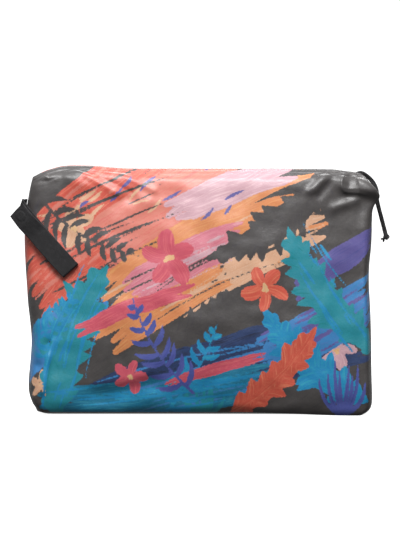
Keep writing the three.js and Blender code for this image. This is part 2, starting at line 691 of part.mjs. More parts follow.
// Depth of the bag's front at a place seen from the front, by halving.
function frontDepth(x, z) {
  const level = (z - bottomAt(x, -1)) / (topAt(x) - bottomAt(x, -1));
  let [low, high] = [0, columns_a_side];
  for (let n = 0; n < 24; n += 1) {
    const middle = (low + high) / 2;
    if (skinPoint(-1, middle, level).x < x) low = middle;
    else high = middle;
  }
  return -skinPoint(-1, low, level).y;
}

const leftSeamAt = (z) => -half_width * between(seams, "level", "left", z / topAt(-half_width));
const seam_x = leftSeamAt(strap_height);
const slope_angle = THREE.MathUtils.degToRad(strap_slope);
const strap_down = new THREE.Vector2(Math.cos(slope_angle), -Math.sin(slope_angle));
const strap_across = new THREE.Vector2(-strap_down.y, strap_down.x);
const layer_pitch = strap_thickness + fold_gap;
const snap_pitch = strap_thickness + 2 * snap_thickness + 3.5 * fit_gap;

// The strap lies in a sheet that is bent round the bag's shoulder. On the flat sheet, a place is given by how
// far it is along the strap from its fold at the seam, and how far across. Over is the height above the lower
// layer.
const strap_bend = (strap_length * strap_down.x) / strap_curve;
const strap_end_x = seam_x - strap_out + strap_curve * Math.sin(strap_bend);
const strap_end_z = strap_height + strap_length * strap_down.y;
const strap_clear = 2.5 * fit_gap + strap_thickness / 2;
const strap_end_depth =
  strap_clear +
  Math.max(
    ...[-1, 0, 1].map((side) => {
      const edge = strap_across.clone().multiplyScalar((side * strap_width) / 2);
      return frontDepth(strap_end_x + edge.x, strap_end_z + edge.y);
    }),
  );

function sheetPoint(along, across, over) {
  const flat = strap_down.clone().multiplyScalar(along).addScaledVector(strap_across, across);
  const bend = (strap_length * strap_down.x - flat.x) / strap_curve;
  const radius = strap_curve + over;
  return new THREE.Vector3(
    strap_end_x - radius * Math.sin(bend),
    strap_curve - strap_end_depth - radius * Math.cos(bend),
    strap_height + flat.y,
  );
}

// At the seam the level webbing is folded over on a slant and so hangs down. The slant, as the length along
// the strap for each unit across it.
const slant = -Math.tan(slope_angle / 2);

// Middle surface of the whole strap: rows from the seam to the free end.
function strapRows() {
  const rows = [];
  const row = (place) => {
    rows.push(
      Array.from({ length: across_steps + 1 }, (_, i) => place((i / across_steps - 0.5) * strap_width)),
    );
  };
  for (const share of [0, 0.35, 0.7]) {
    row((across) => {
      const z = strap_height + across;
      const seam = new THREE.Vector3(leftSeamAt(z) - 1.5 * fit_gap - strap_thickness / 2, 0, z);
      return seam.lerp(sheetPoint(slant * across, across, -layer_pitch), share);
    });
  }
  for (let n = 0; n <= fold_steps; n += 1) {
    const turn = (Math.PI * n) / fold_steps;
    const radius = layer_pitch / 2;
    const over = -radius - radius * Math.cos(turn);
    row((across) => sheetPoint(slant * across - radius * Math.sin(turn), across, over));
  }
  for (let n = 1; n < strap_steps; n += 1) {
    const share = n / strap_steps;
    row((across) => sheetPoint(THREE.MathUtils.lerp(slant * across, strap_length, share), across, 0));
  }
  for (let n = 0; n <= fold_steps; n += 1) {
    const turn = (Math.PI * n) / fold_steps;
    const radius = layer_pitch / 2;
    const over = radius - radius * Math.cos(turn);
    row((across) => sheetPoint(strap_length + radius * Math.sin(turn), across, over));
  }
  for (let n = 1; n <= strap_steps; n += 1) {
    const along = strap_length * (1 - n / strap_steps);
    const near = 1 - THREE.MathUtils.smoothstep(along, snap_from_end + snap_diameter / 2, 4 * snap_from_end);
    row((across) => sheetPoint(along, across, THREE.MathUtils.lerp(layer_pitch, snap_pitch, near)));
  }
  return rows;
}

function strapGeometry() {
  const rows = strapRows();
  const skin = new Skin();
  const index = rows.map((row) => row.map((p) => skin.add(p)));
  for (let j = 0; j + 1 < index.length; j += 1) {
    for (let i = 0; i < across_steps; i += 1) {
      skin.quad(index[j][i], index[j][i + 1], index[j + 1][i + 1], index[j + 1][i]);
    }
  }
  const normals = skin.normals();
  const offset = (by) => {
    return rows.map((row, j) => row.map((p, i) => p.clone().addScaledVector(normals[index[j][i]], by)));
  };
  return plateGeometry(offset(strap_thickness / 2), offset(-strap_thickness / 2));
}

const snap_bevel = 0.3; // of each half's thickness

// One half of the press snap, lying between the strap's layers at some height above the lower one.
function snapGeometry(over) {
  const radius = snap_diameter / 2;
  const edge = snap_thickness * snap_bevel;
  const profile = [
    [0, 0],
    [radius - edge, 0],
    [radius, edge],
    [radius, snap_thickness - edge],
    [radius - edge, snap_thickness],
    [0, snap_thickness],
  ].map(([x, y]) => new THREE.Vector2(x, y));
  const foot = sheetPoint(snap_from_end, 0, over);
  const axis = sheetPoint(snap_from_end, 0, over + 1).sub(foot);
  const turn = new THREE.Quaternion().setFromUnitVectors(new THREE.Vector3(0, 1, 0), axis);
  return new THREE.LatheGeometry(profile, 18).applyQuaternion(turn).translate(...foot.toArray());
}

function paint(color, roughness, metalness = 0) {
  return new THREE.MeshStandardMaterial({ color, roughness, metalness });
}

const group = new THREE.Group();
function piece(name, geometry, material) {
  const mesh = new THREE.Mesh(geometry, material);
  mesh.name = name;
  group.add(mesh);
}

const coated_cloth = paint(0x5a5554, 0.45);
const coral_tape = paint(0xc8544a, 0.8);
const coral_teeth = paint(0xd9604f, 0.4);
const dark_metal = paint(0x2a2a2c, 0.4, 0.8);
const black_webbing = paint(0x1b1a1c, 0.85);
const black_cord = paint(0x18181a, 0.8);
const black_plastic = paint(0x121213, 0.35);

piece("bag_body", bodyGeometry(), coated_cloth);
piece("base_panel", baseGeometry(), coated_cloth);
piece("zip_tape_front", tapeGeometry(-1), coral_tape);
piece("zip_tape_back", tapeGeometry(1), coral_tape);
piece("zip_coil", coilGeometry(), coral_teeth);
piece("zip_slider", sliderGeometry(), dark_metal);
piece("pull_loop", loopGeometry(), black_cord);
piece("pull_cord", tubeGeometry(cord_route, cord_diameter, 8, 36), black_cord);
piece("pull_knot", knotGeometry(), black_cord);
piece("snap_strap", strapGeometry(), black_webbing);
piece("snap_socket", snapGeometry(strap_thickness / 2 + fit_gap), black_plastic);
piece("snap_stud", snapGeometry(strap_thickness / 2 + 2 * fit_gap + snap_thickness), black_plastic);

export default group;
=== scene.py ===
import math

import bpy
import numpy as np
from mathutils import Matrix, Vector


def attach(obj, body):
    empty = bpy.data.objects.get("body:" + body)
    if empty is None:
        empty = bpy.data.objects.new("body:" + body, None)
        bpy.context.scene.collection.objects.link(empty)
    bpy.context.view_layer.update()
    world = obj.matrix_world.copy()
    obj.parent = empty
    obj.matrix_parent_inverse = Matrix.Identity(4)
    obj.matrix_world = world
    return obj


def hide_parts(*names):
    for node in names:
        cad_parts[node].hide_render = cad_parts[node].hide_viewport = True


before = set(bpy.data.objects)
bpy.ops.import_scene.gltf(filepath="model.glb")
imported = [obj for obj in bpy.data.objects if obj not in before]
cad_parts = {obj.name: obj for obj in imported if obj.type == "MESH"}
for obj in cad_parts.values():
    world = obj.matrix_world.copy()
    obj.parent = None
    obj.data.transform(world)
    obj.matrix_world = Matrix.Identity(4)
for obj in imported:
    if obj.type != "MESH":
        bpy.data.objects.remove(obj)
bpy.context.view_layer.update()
BRUSH_SEED = 7
WAVE_SEED = 11
rng = np.random.default_rng(BRUSH_SEED)

# Driving sizes, in millimetres as in the part's source

MM = 0.001
BAG_WIDTH = 330.0
BAG_HEIGHT = 234.7
BAG_DEPTH = 90.0
CLOTH = 1.2
FIT_GAP = 0.3
FRONT_LIFT = 3.5
BACK_LIFT = 2.0
LIFT_REACH = 20.0
CORNER_DIP = 5.0

TAPE_THICKNESS = 0.6
TAPE_TUCK = 11.0
HEM_THICKNESS = 0.9
COIL_WIDTH = 5.6
COIL_HEIGHT = 2.0
ZIP_SINK = 1.6
END_SINK = 9.6
ZIP_GAP = 0.45
SLIDER_LENGTH = 11.0
SLIDER_PLATE = 1.2
SLIDER_FROM_END = 16.5
POST_WIDTH = 2.4
BRIDGE_WALL = 1.2
BRIDGE_SPAN = 4.2
BRIDGE_RISE = 3.3

STRAND_DIAMETER = 2.1
CORD_DIAMETER = 4.2
KNOT_LENGTH = 7.4
TAIL_LENGTH = 6.0

STRAP_WIDTH = 19.0
STRAP_THICKNESS = 1.5
STRAP_LENGTH = 76.5
STRAP_HEIGHT = 195.2
STRAP_SLOPE = 47.5
STRAP_CURVE = 82.0
STRAP_OUT = 5.6
FOLD_GAP = 0.4
SNAP_DIAMETER = 9.2
SNAP_THICKNESS = 1.5
SNAP_FROM_END = 8.0

HALF_WIDTH = BAG_WIDTH / 2
HALF_DEPTH = BAG_DEPTH / 2
CORNER_FULLNESS = 0.78
CROWN_FULLNESS = 1.5
CHEEK_RISE = 0.7
CHEEK_FALL = 0.5
DIP_FROM = 0.93
FOLD_FADE_FOOT = 0.04
FOLD_FADE_RIM = 0.02
SAG_FROM = 0.3
SAG_TO = 0.9

# Numbers of faces

SIDE_STEPS = 10
FACE_STEPS = 220
FACE_GRADING = 0.38
COLUMNS = 2 * SIDE_STEPS + FACE_STEPS
AROUND = 2 * COLUMNS


def columns(names, rows):
    """A table with named columns, each an array."""
    return dict(zip(names.split(), np.array(rows, float).T))


# The same tables as in the part's source, as shares of half the width, half the depth and the height

SEAMS = columns("level left right left_round right_round", [
    (0, 0.951, 0.953, 0.05, 0.045),
    (0.012, 0.959, 0.978, 0.055, 0.045),
    (0.03, 0.975, 0.996, 0.06, 0.045),
    (0.06, 0.991, 1.001, 0.07, 0.045),
    (0.09, 0.999, 1.001, 0.085, 0.045),
    (0.14, 0.998, 0.999, 0.1, 0.045),
    (0.22, 0.988, 0.997, 0.11, 0.045),
    (0.3, 0.982, 0.996, 0.115, 0.045),
    (0.38, 0.99, 0.994, 0.12, 0.045),
    (0.46, 1.002, 0.99, 0.12, 0.045),
    (0.54, 1.009, 0.984, 0.12, 0.045),
    (0.62, 1.016, 0.985, 0.12, 0.045),
    (0.7, 1.021, 0.995, 0.12, 0.045),
    (0.77, 1.022, 0.998, 0.12, 0.045),
    (0.82, 1.018, 0.994, 0.115, 0.045),
    (0.86, 1.012, 0.986, 0.11, 0.045),
    (0.89, 1.006, 0.978, 0.105, 0.045),
    (0.915, 1, 0.972, 0.1, 0.045),
    (0.94, 0.994, 0.969, 0.09, 0.045),
    (0.965, 0.987, 0.964, 0.08, 0.04),
    (0.985, 0.98, 0.955, 0.07, 0.04),
    (1, 0.974, 0.947, 0.06, 0.04),
])
DEPTHS = columns("level wall crown back_crown", [
    (0, 0.93, 0, 0),
    (0.012, 0.965, 0.012, 0.01),
    (0.03, 0.985, 0.03, 0.03),
    (0.06, 0.99, 0.05, 0.06),
    (0.09, 0.985, 0.08, 0.09),
    (0.14, 0.965, 0.12, 0.13),
    (0.22, 0.92, 0.17, 0.18),
    (0.3, 0.87, 0.205, 0.21),
    (0.38, 0.81, 0.23, 0.23),
    (0.46, 0.745, 0.245, 0.24),
    (0.54, 0.675, 0.25, 0.24),
    (0.62, 0.605, 0.245, 0.235),
    (0.7, 0.535, 0.23, 0.22),
    (0.77, 0.475, 0.205, 0.2),
    (0.82, 0.43, 0.185, 0.18),
    (0.86, 0.395, 0.165, 0.16),
    (0.89, 0.37, 0.145, 0.14),
    (0.915, 0.35, 0.13, 0.125),
    (0.94, 0.33, 0.11, 0.105),
    (0.965, 0.295, 0.085, 0.08),
    (0.985, 0.21, 0.05, 0.045),
    (1, 0.14, 0, 0),
])
CHEEKS = columns("level front back", [
    (0, 0.003, 0.003),
    (0.03, 0.004, 0.006),
    (0.3, 0.002, 0.007),
    (0.54, 0, 0.01),
    (0.7, 0.002, 0.01),
    (0.79, 0.008, 0.009),
    (0.83, 0.02, 0.008),
    (0.865, 0.04, 0.006),
    (0.895, 0.077, 0.004),
    (0.92, 0.112, 0.003),
    (0.942, 0.122, 0.002),
    (0.965, 0.088, 0.001),
    (0.985, 0.06, 0),
    (1, 0.042, 0),
])
TOP_EDGE = columns("along rise", [
    (-1.03, 0.952),
    (-0.975, 0.96),
    (-0.93, 0.975),
    (-0.88, 0.989),
    (-0.79, 1.004),
    (-0.64, 1.005),
    (-0.46, 0.995),
    (-0.3, 0.993),
    (0, 0.993),
    (0.4, 0.9925),
    (0.76, 0.99),
    (0.85, 0.983),
    (0.92, 0.976),
    (0.96, 0.969),
    (1, 0.961),
    (1.04, 0.947),
])

# Folds: name, start x and z, end x and z, spread, height (minus is a dent)

FRONT_FOLDS = [
    ("lower left crease, upper part", -0.87, 0.3, -0.93, 0.2, 0.03, -0.05),
    ("lower left crease, lower part", -0.93, 0.2, -0.96, 0.1, 0.03, -0.05),
    ("ridge beside that crease", -0.89, 0.24, -0.93, 0.1, 0.025, 0.04),
    ("left shoulder fold", -0.93, 0.72, -0.95, 0.4, 0.03, -0.035),
    ("top left ridge, outer", -0.76, 0.965, -0.5, 0.9, 0.042, 0.045),
    ("top left dent between", -0.68, 0.97, -0.4, 0.88, 0.035, -0.03),
    ("top left ridge, inner", -0.58, 0.965, -0.3, 0.87, 0.045, 0.04),
    ("top left corner fold", -0.96, 0.958, -0.84, 0.965, 0.025, 0.04),
    ("corner ridge, upper part", 0.83, 0.975, 0.82, 0.935, 0.035, 0.05),
    ("corner ridge, lower part", 0.85, 0.915, 1.0, 0.91, 0.035, 0.05),
    ("crease under the corner", 0.85, 0.875, 1.02, 0.87, 0.035, -0.07),
    ("corner puff", 0.93, 0.94, 0.97, 0.94, 0.07, 0.06),
    ("corner hollow", 0.88, 0.97, 0.9, 0.955, 0.035, -0.04),
    ("fold towards the zip", 0.77, 0.975, 0.67, 0.915, 0.03, 0.04),
    ("fold below the corner", 0.9, 0.87, 0.78, 0.84, 0.028, 0.035),
    ("right edge", 0.955, 0.8, 0.96, 0.06, 0.03, 0.02),
    ("lower left dent", -0.55, 0.08, -0.27, 0.12, 0.09, -0.035),
    ("middle dent", -0.1, 0.56, 0.4, 0.5, 0.16, -0.03),
]
BACK_FOLDS = [
    ("left diagonal", -0.85, 0.28, -0.96, 0.1, 0.035, -0.05),
    ("right diagonal", 0.86, 0.3, 0.96, 0.12, 0.035, -0.05),
    ("top left ridge", -0.72, 0.96, -0.5, 0.88, 0.045, 0.04),
    ("top right ridge", 0.76, 0.96, 0.56, 0.87, 0.045, 0.045),
    ("middle dent", -0.35, 0.45, 0.2, 0.52, 0.18, -0.035),
]

# Fine creases that only the surface shows, in millimetres: a name, half the width, the height (minus is a
# dent) and the places that each runs through, as x and z

CREASES = [
    ("corner ridge", 1.3, 0.8, [(138.5, 231), (136, 224), (135.2, 218), (136.9, 213.4), (141, 211.4),
        (149, 211.3), (158, 212), (167, 213.6)]),
    ("crescent", 2.0, 0.9, [(152.6, 220.6), (153.4, 224), (156.5, 226.4), (161, 226.4), (166, 223.4)]),
    ("corner bulge", 6.5, 2.6, [(158, 225), (165, 224), (169, 217)]),
    ("corner pocket", 3.4, -0.6, [(143, 226), (142.5, 219)]),
    ("fill under the corner", 5.5, 2.4, [(140, 203.5), (156, 204.5), (169, 206)]),
    ("streak", 3.6, 1.5, [(121, 230), (114.3, 222.3), (105, 212.5)]),
    ("beside the streak", 4.0, -1.2, [(128, 228), (121.5, 219), (114, 209)]),
    ("under ridge", 4.5, 0.35, [(147, 204), (138, 201), (127, 195.5)]),
    ("left corner edge", 1.3, 1.1, [(-162, 226.6), (-147, 227.2)]),
    ("left corner hollow", 2.2, -0.9, [(-158, 222.5), (-146, 223.2), (-138, 226)]),
    ("top left ridge", 3.2, 1.4, [(-122, 234.5), (-100, 222.4), (-76, 209)]),
    ("top left hollow", 3.0, -1.2, [(-112, 235), (-92, 225.6), (-66, 212.5)]),
    ("top left ridge, second", 3.4, 1.2, [(-102, 237.5), (-75, 227.8), (-44, 213.5)]),
    ("lower left crease", 1.8, -2.0, [(-143.9, 70), (-151.5, 48), (-159.5, 22)]),
    ("lower left band", 3.6, 1.5, [(-140, 70), (-146, 48), (-149, 24)]),
    ("lower dent", 9.0, -1.4, [(-110, 16), (-76, 22.3), (-44, 30)]),
    ("lower ridge", 5.0, 0.8, [(-104, 30), (-70, 35), (-46, 44)]),
    ("left shoulder", 3.0, -1.2, [(-154, 196), (-156, 150), (-152, 92)]),
]
CREASE_STEPS = 4
CREASES_BEHIND = 0.6
FAR_OFF = 1000.0

# Soft waves of loosely filled cloth, in millimetres: length and rise

WAVES = [(92, 0.55), (64, 0.42), (45, 0.34), (31, 0.24), (21, 0.14)]
WAVES_EACH = 3
WAVE_SPREAD = 1.7
WAVE_BOW = 9
WAVE_BOW_RATE = 1.9


def creases_at(x, z):
    """How far the fine creases stand out, in millimetres."""
    out = np.zeros(x.shape)
    for _, half_wide, high, places in CREASES:
        path = catmull(np.array(places, float), CREASE_STEPS)
        near = np.full(x.shape, FAR_OFF)
        for a, b in zip(path[:-1], path[1:]):
            ab = b - a
            t = np.clip(((x - a[0]) * ab[0] + (z - a[1]) * ab[1]) / (ab @ ab), 0, 1)
            near = np.minimum(near, np.hypot(x - a[0] - ab[0] * t, z - a[1] - ab[1] * t))
        out = out + high * np.exp(-((near / half_wide) ** 2))
    return out


def waves_at(along, z):
    """How far the soft waves stand out, in millimetres."""
    draws = np.random.default_rng(WAVE_SEED)
    total = 0
    for length, rise in WAVES:
        for _ in range(WAVES_EACH):
            turn = draws.uniform(0, math.pi)
            beside = along * math.sin(turn) - z * math.cos(turn)
            bow = WAVE_BOW * np.sin(beside / length * WAVE_BOW_RATE + draws.uniform(0, 6))
            run = along * math.cos(turn) + z * math.sin(turn) + bow
            total = total + rise / WAVE_SPREAD * np.sin(2 * math.pi * run / length + draws.uniform(0, 6))
    return total


def between(table, value, at, key="level"):
    """A smooth curve through a column, read along the key column."""
    x = table[key]
    y = table[value]
    t = np.clip(at, x[0], x[-1])
    i = np.clip(np.searchsorted(x, t, side="right") - 1, 0, len(x) - 2)
    low = np.maximum(np.arange(len(x)) - 1, 0)
    high = np.minimum(np.arange(len(x)) + 1, len(x) - 1)
    slope = (y[high] - y[low]) / (x[high] - x[low])
    step = x[i + 1] - x[i]
    u = (t - x[i]) / step
    near = (2 * u**3 - 3 * u**2 + 1) * y[i] + (u**3 - 2 * u**2 + u) * step * slope[i]
    far = (3 * u**2 - 2 * u**3) * y[i + 1] + (u**3 - u**2) * step * slope[i + 1]
    return near + far


def smoothstep(x, low, high):
    t = np.clip((x - low) / (high - low), 0, 1)
    return t * t * (3 - 2 * t)


def lerp(a, b, t):
    return a + (b - a) * t


def folds_at(folds, x, z):
    """How far the folds of a side stand out, in millimetres."""
    out = np.zeros(np.broadcast(x, z).shape)
    for _, x0, z0, x1, z1, spread, height in folds:
        start = np.array([x0 * HALF_WIDTH, z0 * BAG_HEIGHT])
        along = np.array([x1 * HALF_WIDTH, z1 * BAG_HEIGHT]) - start
        t = ((x - start[0]) * along[0] + (z - start[1]) * along[1]) / (along @ along)
        t = np.clip(t, 0, 1)
        away = np.hypot(x - start[0] - along[0] * t, z - start[1] - along[1] * t)
        out = out + height * HALF_DEPTH * np.exp(-((away / (spread * HALF_WIDTH)) ** 2))
    return out


def top_at(x):
    return BAG_HEIGHT * between(TOP_EDGE, "rise", x / HALF_WIDTH, "along")


def bottom_at(x, toward):
    front = FRONT_LIFT * (1 - smoothstep(x / HALF_WIDTH, 0.2, 0.9))
    return lerp(front, BACK_LIFT, (toward + 1) / 2)


def skin_side(side, levels):
    """Points of one side's outer skin from seam to seam: rows of levels, in millimetres."""
    level = np.asarray(levels)[:, None]
    wall = HALF_DEPTH * between(DEPTHS, "wall", level)
    crown = HALF_DEPTH * between(DEPTHS, "crown" if side < 0 else "back_crown", level)
    seam = {h: HALF_WIDTH * between(SEAMS, h, level) for h in ("left", "right")}
    rounds = {h: HALF_WIDTH * between(SEAMS, h + "_round", level) for h in ("left", "right")}
    cheek = HALF_WIDTH * between(CHEEKS, "front" if side < 0 else "back", level)
    turn = np.linspace(0, math.pi / 2, SIDE_STEPS + 1)[None, :-1]
    across = np.linspace(-1, 1, FACE_STEPS + 1)[None, :]
    across = (1 - FACE_GRADING) * across + FACE_GRADING * np.sin(across * math.pi / 2)
    parts = []
    for hand in ("left", "right"):
        reach = seam[hand] - rounds[hand] * (1 - np.cos(turn) ** CORNER_FULLNESS)
        depth = wall * np.sin(turn) ** CORNER_FULLNESS
        if hand == "left":
            parts.append((-reach, depth, turn + 0 * level))
        else:
            swell = cheek * np.sin(turn) ** CHEEK_RISE * np.cos(turn) ** CHEEK_FALL
            parts.append((reach + swell, depth, turn + 0 * level))
    ends = (rounds["left"] - seam["left"], seam["right"] - rounds["right"])
    face_x = lerp(ends[0], ends[1], (across + 1) / 2)
    face_depth = wall + crown * (1 - across**2) ** CROWN_FULLNESS
    face_turn = np.full(face_x.shape, math.pi / 2)
    left, right = parts
    x, depth, turn = (
        np.concatenate([left[i], (face_x, face_depth, face_turn)[i], right[i][:, ::-1]], axis=1)
        for i in range(3)
    )
    bottom = bottom_at(x, side * np.sin(turn))
    on_right = (np.arange(x.shape[1]) > COLUMNS / 2)[None, :]
    dip = CORNER_DIP * smoothstep(level, DIP_FROM, 1) * np.cos(turn) ** 2 * on_right
    z = lerp(bottom, top_at(x), level) - dip
    fade = np.minimum(1, level / FOLD_FADE_FOOT) * np.minimum(1, (1 - level) / FOLD_FADE_RIM)
    folds = folds_at(FRONT_FOLDS if side < 0 else BACK_FOLDS, x, z)
    y = side * (depth + folds * fade * np.sin(turn) ** 2)
    return np.stack([x, y, z], axis=2)


def ring_of(front, back):
    """Front left to right, then back right to left, as one closed ring."""
    return np.concatenate([front, back[:, -2:0:-1]], axis=1)


def grid_normals(points, closed=True):
    """Unit normals of a grid of rows that run round the bag."""
    if closed:
        along = np.roll(points, -1, axis=1) - np.roll(points, 1, axis=1)
    else:
        along = np.gradient(points, axis=1)
    up = np.gradient(points, axis=0)
    normal = np.cross(along, up)
    return normal / np.maximum(np.linalg.norm(normal, axis=2, keepdims=True), 1e-9)


def grid_faces(rows, count, closed=False, flip=False):
    """Quads of a grid of points, row by row."""
    j, k = np.meshgrid(np.arange(rows - 1), np.arange(count if closed else count - 1), indexing="ij")
    n = (k + 1) % count
    quads = np.stack([j * count + k, j * count + n, (j + 1) * count + n, (j + 1) * count + k], axis=2)
    quads = quads.reshape(-1, 4)
    return quads[:, ::-1] if flip else quads


def build(name, points, faces, material=None, smooth=True):
    """A mesh object from points in millimetres."""
    mesh = bpy.data.meshes.new(name)
    co = np.asarray(points, float).reshape(-1, 3) * MM
    mesh.from_pydata(co.tolist(), [], [list(map(int, f)) for f in faces])
    mesh.polygons.foreach_set("use_smooth", [smooth] * len(mesh.polygons))
    mesh.update()
    made = bpy.data.objects.new(name, mesh)
    bpy.context.scene.collection.objects.link(made)
    if material:
        mesh.materials.append(material)
    return made


def attribute(obj, name, values):
    """A number, or a vector, for each point of a mesh, for its material to read."""
    values = np.asarray(values, np.float32)
    kind = "FLOAT_VECTOR" if values.ndim > 1 and values.shape[-1] == 3 else "FLOAT"
    made = obj.data.attributes.new(name, kind, "POINT")
    made.data.foreach_set("vector" if kind == "FLOAT_VECTOR" else "value", values.ravel())


def catmull(points, per):
    """Points along a smooth curve through the given ones."""
    p = np.asarray(points, float)
    p = np.vstack([2 * p[0] - p[1], p, 2 * p[-1] - p[-2]])
    out = []
    for i in range(1, len(p) - 2):
        a, b, c, d = p[i - 1 : i + 3]
        for t in np.arange(per) / per:
            square = (2 * a - 5 * b + 4 * c - d) * t**2
            cube = (3 * b - a - 3 * c + d) * t**3
            out.append(0.5 * (2 * b + (c - a) * t + square + cube))
    out.append(p[-2])
    return np.array(out)


def lengths_along(points):
    """Distance from the first point, along a path or along each row of a grid."""
    step = np.linalg.norm(np.diff(points, axis=-2), axis=-1)
    return np.concatenate([np.zeros((*step.shape[:-1], 1)), np.cumsum(step, axis=-1)], axis=-1)


def unit(vectors):
    """Vectors made one long."""
    return vectors / np.linalg.norm(vectors, axis=-1, keepdims=True)


def frames(path):
    """Tangents and two steady sideways directions along a path."""
    tangent = unit(np.gradient(path, axis=0))
    side = np.zeros_like(path)
    ref = np.array([0.0, 1.0, 0.0])
    if abs(tangent[0] @ ref) > 0.9:
        ref = np.array([1.0, 0.0, 0.0])
    for i, t in enumerate(tangent):
        ref = ref - t * (ref @ t)
        ref /= np.linalg.norm(ref)
        side[i] = ref
    return tangent, side, np.cross(tangent, side)


def end_faces(rows, count, flip=False):
    """The faces over both ends of a stack of rings."""
    first = list(range(count))
    last = [(rows - 1) * count + k for k in first]
    return [first, last[::-1]] if flip else [first[::-1], last]


CAP_RADII = np.array([0.25, 0.6, 0.87])


def tube(path, radius, sides):
    """Points, faces and (along, around) of a tube with rounded ends, its radius a number or one per point."""
    path = np.asarray(path, float)
    radius = np.broadcast_to(np.asarray(radius, float), len(path))
    tangent, u, v = frames(path)
    reach = np.sqrt(1 - CAP_RADII**2)[:, None]
    first = path[0] - tangent[0] * radius[0] * reach
    last = path[-1] + tangent[-1] * radius[-1] * reach[::-1]
    centres = np.vstack([first, path, last])
    radii = np.concatenate([radius[0] * CAP_RADII, radius, radius[-1] * CAP_RADII[::-1]])
    us, vs = (np.vstack([[w[0]] * len(first), w, [w[-1]] * len(last)]) for w in (u, v))
    angle = np.arange(sides) * 2 * math.pi / sides
    ring = us[:, None] * np.cos(angle)[None, :, None] + vs[:, None] * np.sin(angle)[None, :, None]
    points = (centres[:, None] + ring * radii[:, None, None]).reshape(-1, 3)
    faces = grid_faces(len(centres), sides, closed=True).tolist() + end_faces(len(centres), sides)
    uv = np.zeros((len(centres), sides, 3))
    uv[:, :, 0] = lengths_along(centres)[:, None]
    uv[:, :, 1] = (angle / (2 * math.pi))[None, :]
    return points, faces, uv.reshape(-1, 3)


def join_parts(parts):
    """Several (points, faces, uv) as one."""
    points, faces, uvs, shift = [], [], [], 0
    for p, f, uv in parts:
        points.append(p)
        uvs.append(uv)
        faces.extend([[i + shift for i in face] for face in f])
        shift += len(p)
    return np.vstack(points), faces, np.vstack(uvs)


def build_tubes(name, parts, material):
    """One mesh of several tubes, which tells its material what lies along and round them."""
    points, faces, uv = join_parts(parts)
    made = build(name, points, faces, material)
    attribute(made, "lay", uv)
    return made


# Materials


def srgb(r, g, b):
    """A colour as seen on a screen, as the linear values that Blender takes."""
    v = np.array([r, g, b]) / 255
    v = np.where(v <= 0.04045, v / 12.92, ((v + 0.055) / 1.055) ** 2.4)
    return (*v, 1.0)


PAINT_DEPTH = 0.28


def pigment(r, g, b):
    """A colour as it looks in this light, darkened to what the surface reflects of it."""
    return (*(np.array(srgb(r, g, b)[:3]) * PAINT_DEPTH), 1.0)


def new_material(name, **sockets):
    mat = bpy.data.materials.new(name)
    mat.use_nodes = True
    shader = mat.node_tree.nodes["Principled BSDF"]
    for key, value in sockets.items():
        shader.inputs[key.replace("_", " ")].default_value = value
    return mat, mat.node_tree, shader


def node(tree, kind, inputs=(), out=0, **settings):
    """A node with its inputs linked or set. Inputs maps a name or number to a socket or a value."""
    made = tree.nodes.new("ShaderNode" + kind)
    for key, value in settings.items():
        setattr(made, key, value)
    for key, value in dict(inputs).items():
        if isinstance(value, bpy.types.NodeSocket):
            tree.links.new(value, made.inputs[key])
        else:
            made.inputs[key].default_value = value
    return made.outputs[out]


def math_node(tree, operation, a, b=0.0):
    return node(tree, "Math", {0: a, 1: b}, operation=operation)


def remap(tree, value, low, high, to_low, to_high):
    return node(tree, "MapRange", {0: value, 1: low, 2: high, 3: to_low, 4: to_high})


def mix_colour(tree, factor, a, b, blend="MIX"):
    return node(tree, "Mix", {0: factor, 6: a, 7: b}, 2, data_type="RGBA", blend_type=blend)


def read(tree, name, vector=False):
    return node(tree, "Attribute", out=1 if vector else 2, attribute_name=name)


def scaled(tree, vector, scale):
    return node(tree, "VectorMath", {0: vector, 1: scale}, operation="MULTIPLY")


def noise(tree, vector, scale, detail=2.0, roughness=0.5):
    return node(
        tree, "TexNoise", {"Vector": vector, "Scale": scale, "Detail": detail, "Roughness": roughness}
    )


def bump(tree, height, distance, strength=1.0, normal=None):
    inputs = {"Height": height, "Distance": distance, "Strength": strength}
    if normal is not None:
        inputs["Normal"] = normal
    return node(tree, "Bump", inputs)


def wave(tree, vector, scale, warp, direction):
    """Bands across a vector, from 0 to 1."""
    inputs = {"Vector": vector, "Scale": scale, "Distortion": warp}
    return node(tree, "TexWave", inputs, 1, bands_direction=direction)


def dress(tree, shader, **sockets):
    """Links outputs to the shader's sockets of these names."""
    for key, output in sockets.items():
        tree.links.new(output, shader.inputs[key.replace("_", " ")])


# The camera looks straight at the front, from just above it

CAMERA_RISE = 4.0
LENS = 220.0
SENSOR = 36.0
PIXEL = 0.965
FRAME_HIGH = 551
AIM = 130.6
FAR_CLIP = 20.0

rise = math.radians(CAMERA_RISE)
distance = LENS / SENSOR * FRAME_HIGH * PIXEL
cam_data = bpy.data.cameras.new("camera")
cam_data.lens = LENS
cam_data.clip_end = FAR_CLIP
cam = bpy.data.objects.new("camera", cam_data)
bpy.context.scene.collection.objects.link(cam)
aim = Vector((0, AIM * math.sin(rise), AIM * math.cos(rise))) * MM
back = Vector((0, -math.cos(rise), math.sin(rise)))
cam.location = aim + back * distance * MM
cam.rotation_euler = (math.pi / 2 - rise, 0, 0)
bpy.context.scene.camera = cam

# The cord pull

slider_x = HALF_WIDTH * float(between(SEAMS, "right", np.array(1.0))) - SLIDER_FROM_END


def zip_at(x):
    """Height of the zip tape's top face."""
    sag = smoothstep(x / slider_x, SAG_FROM, SAG_TO)
    return lerp(top_at(x) - ZIP_SINK, top_at(slider_x) - END_SINK, sag)


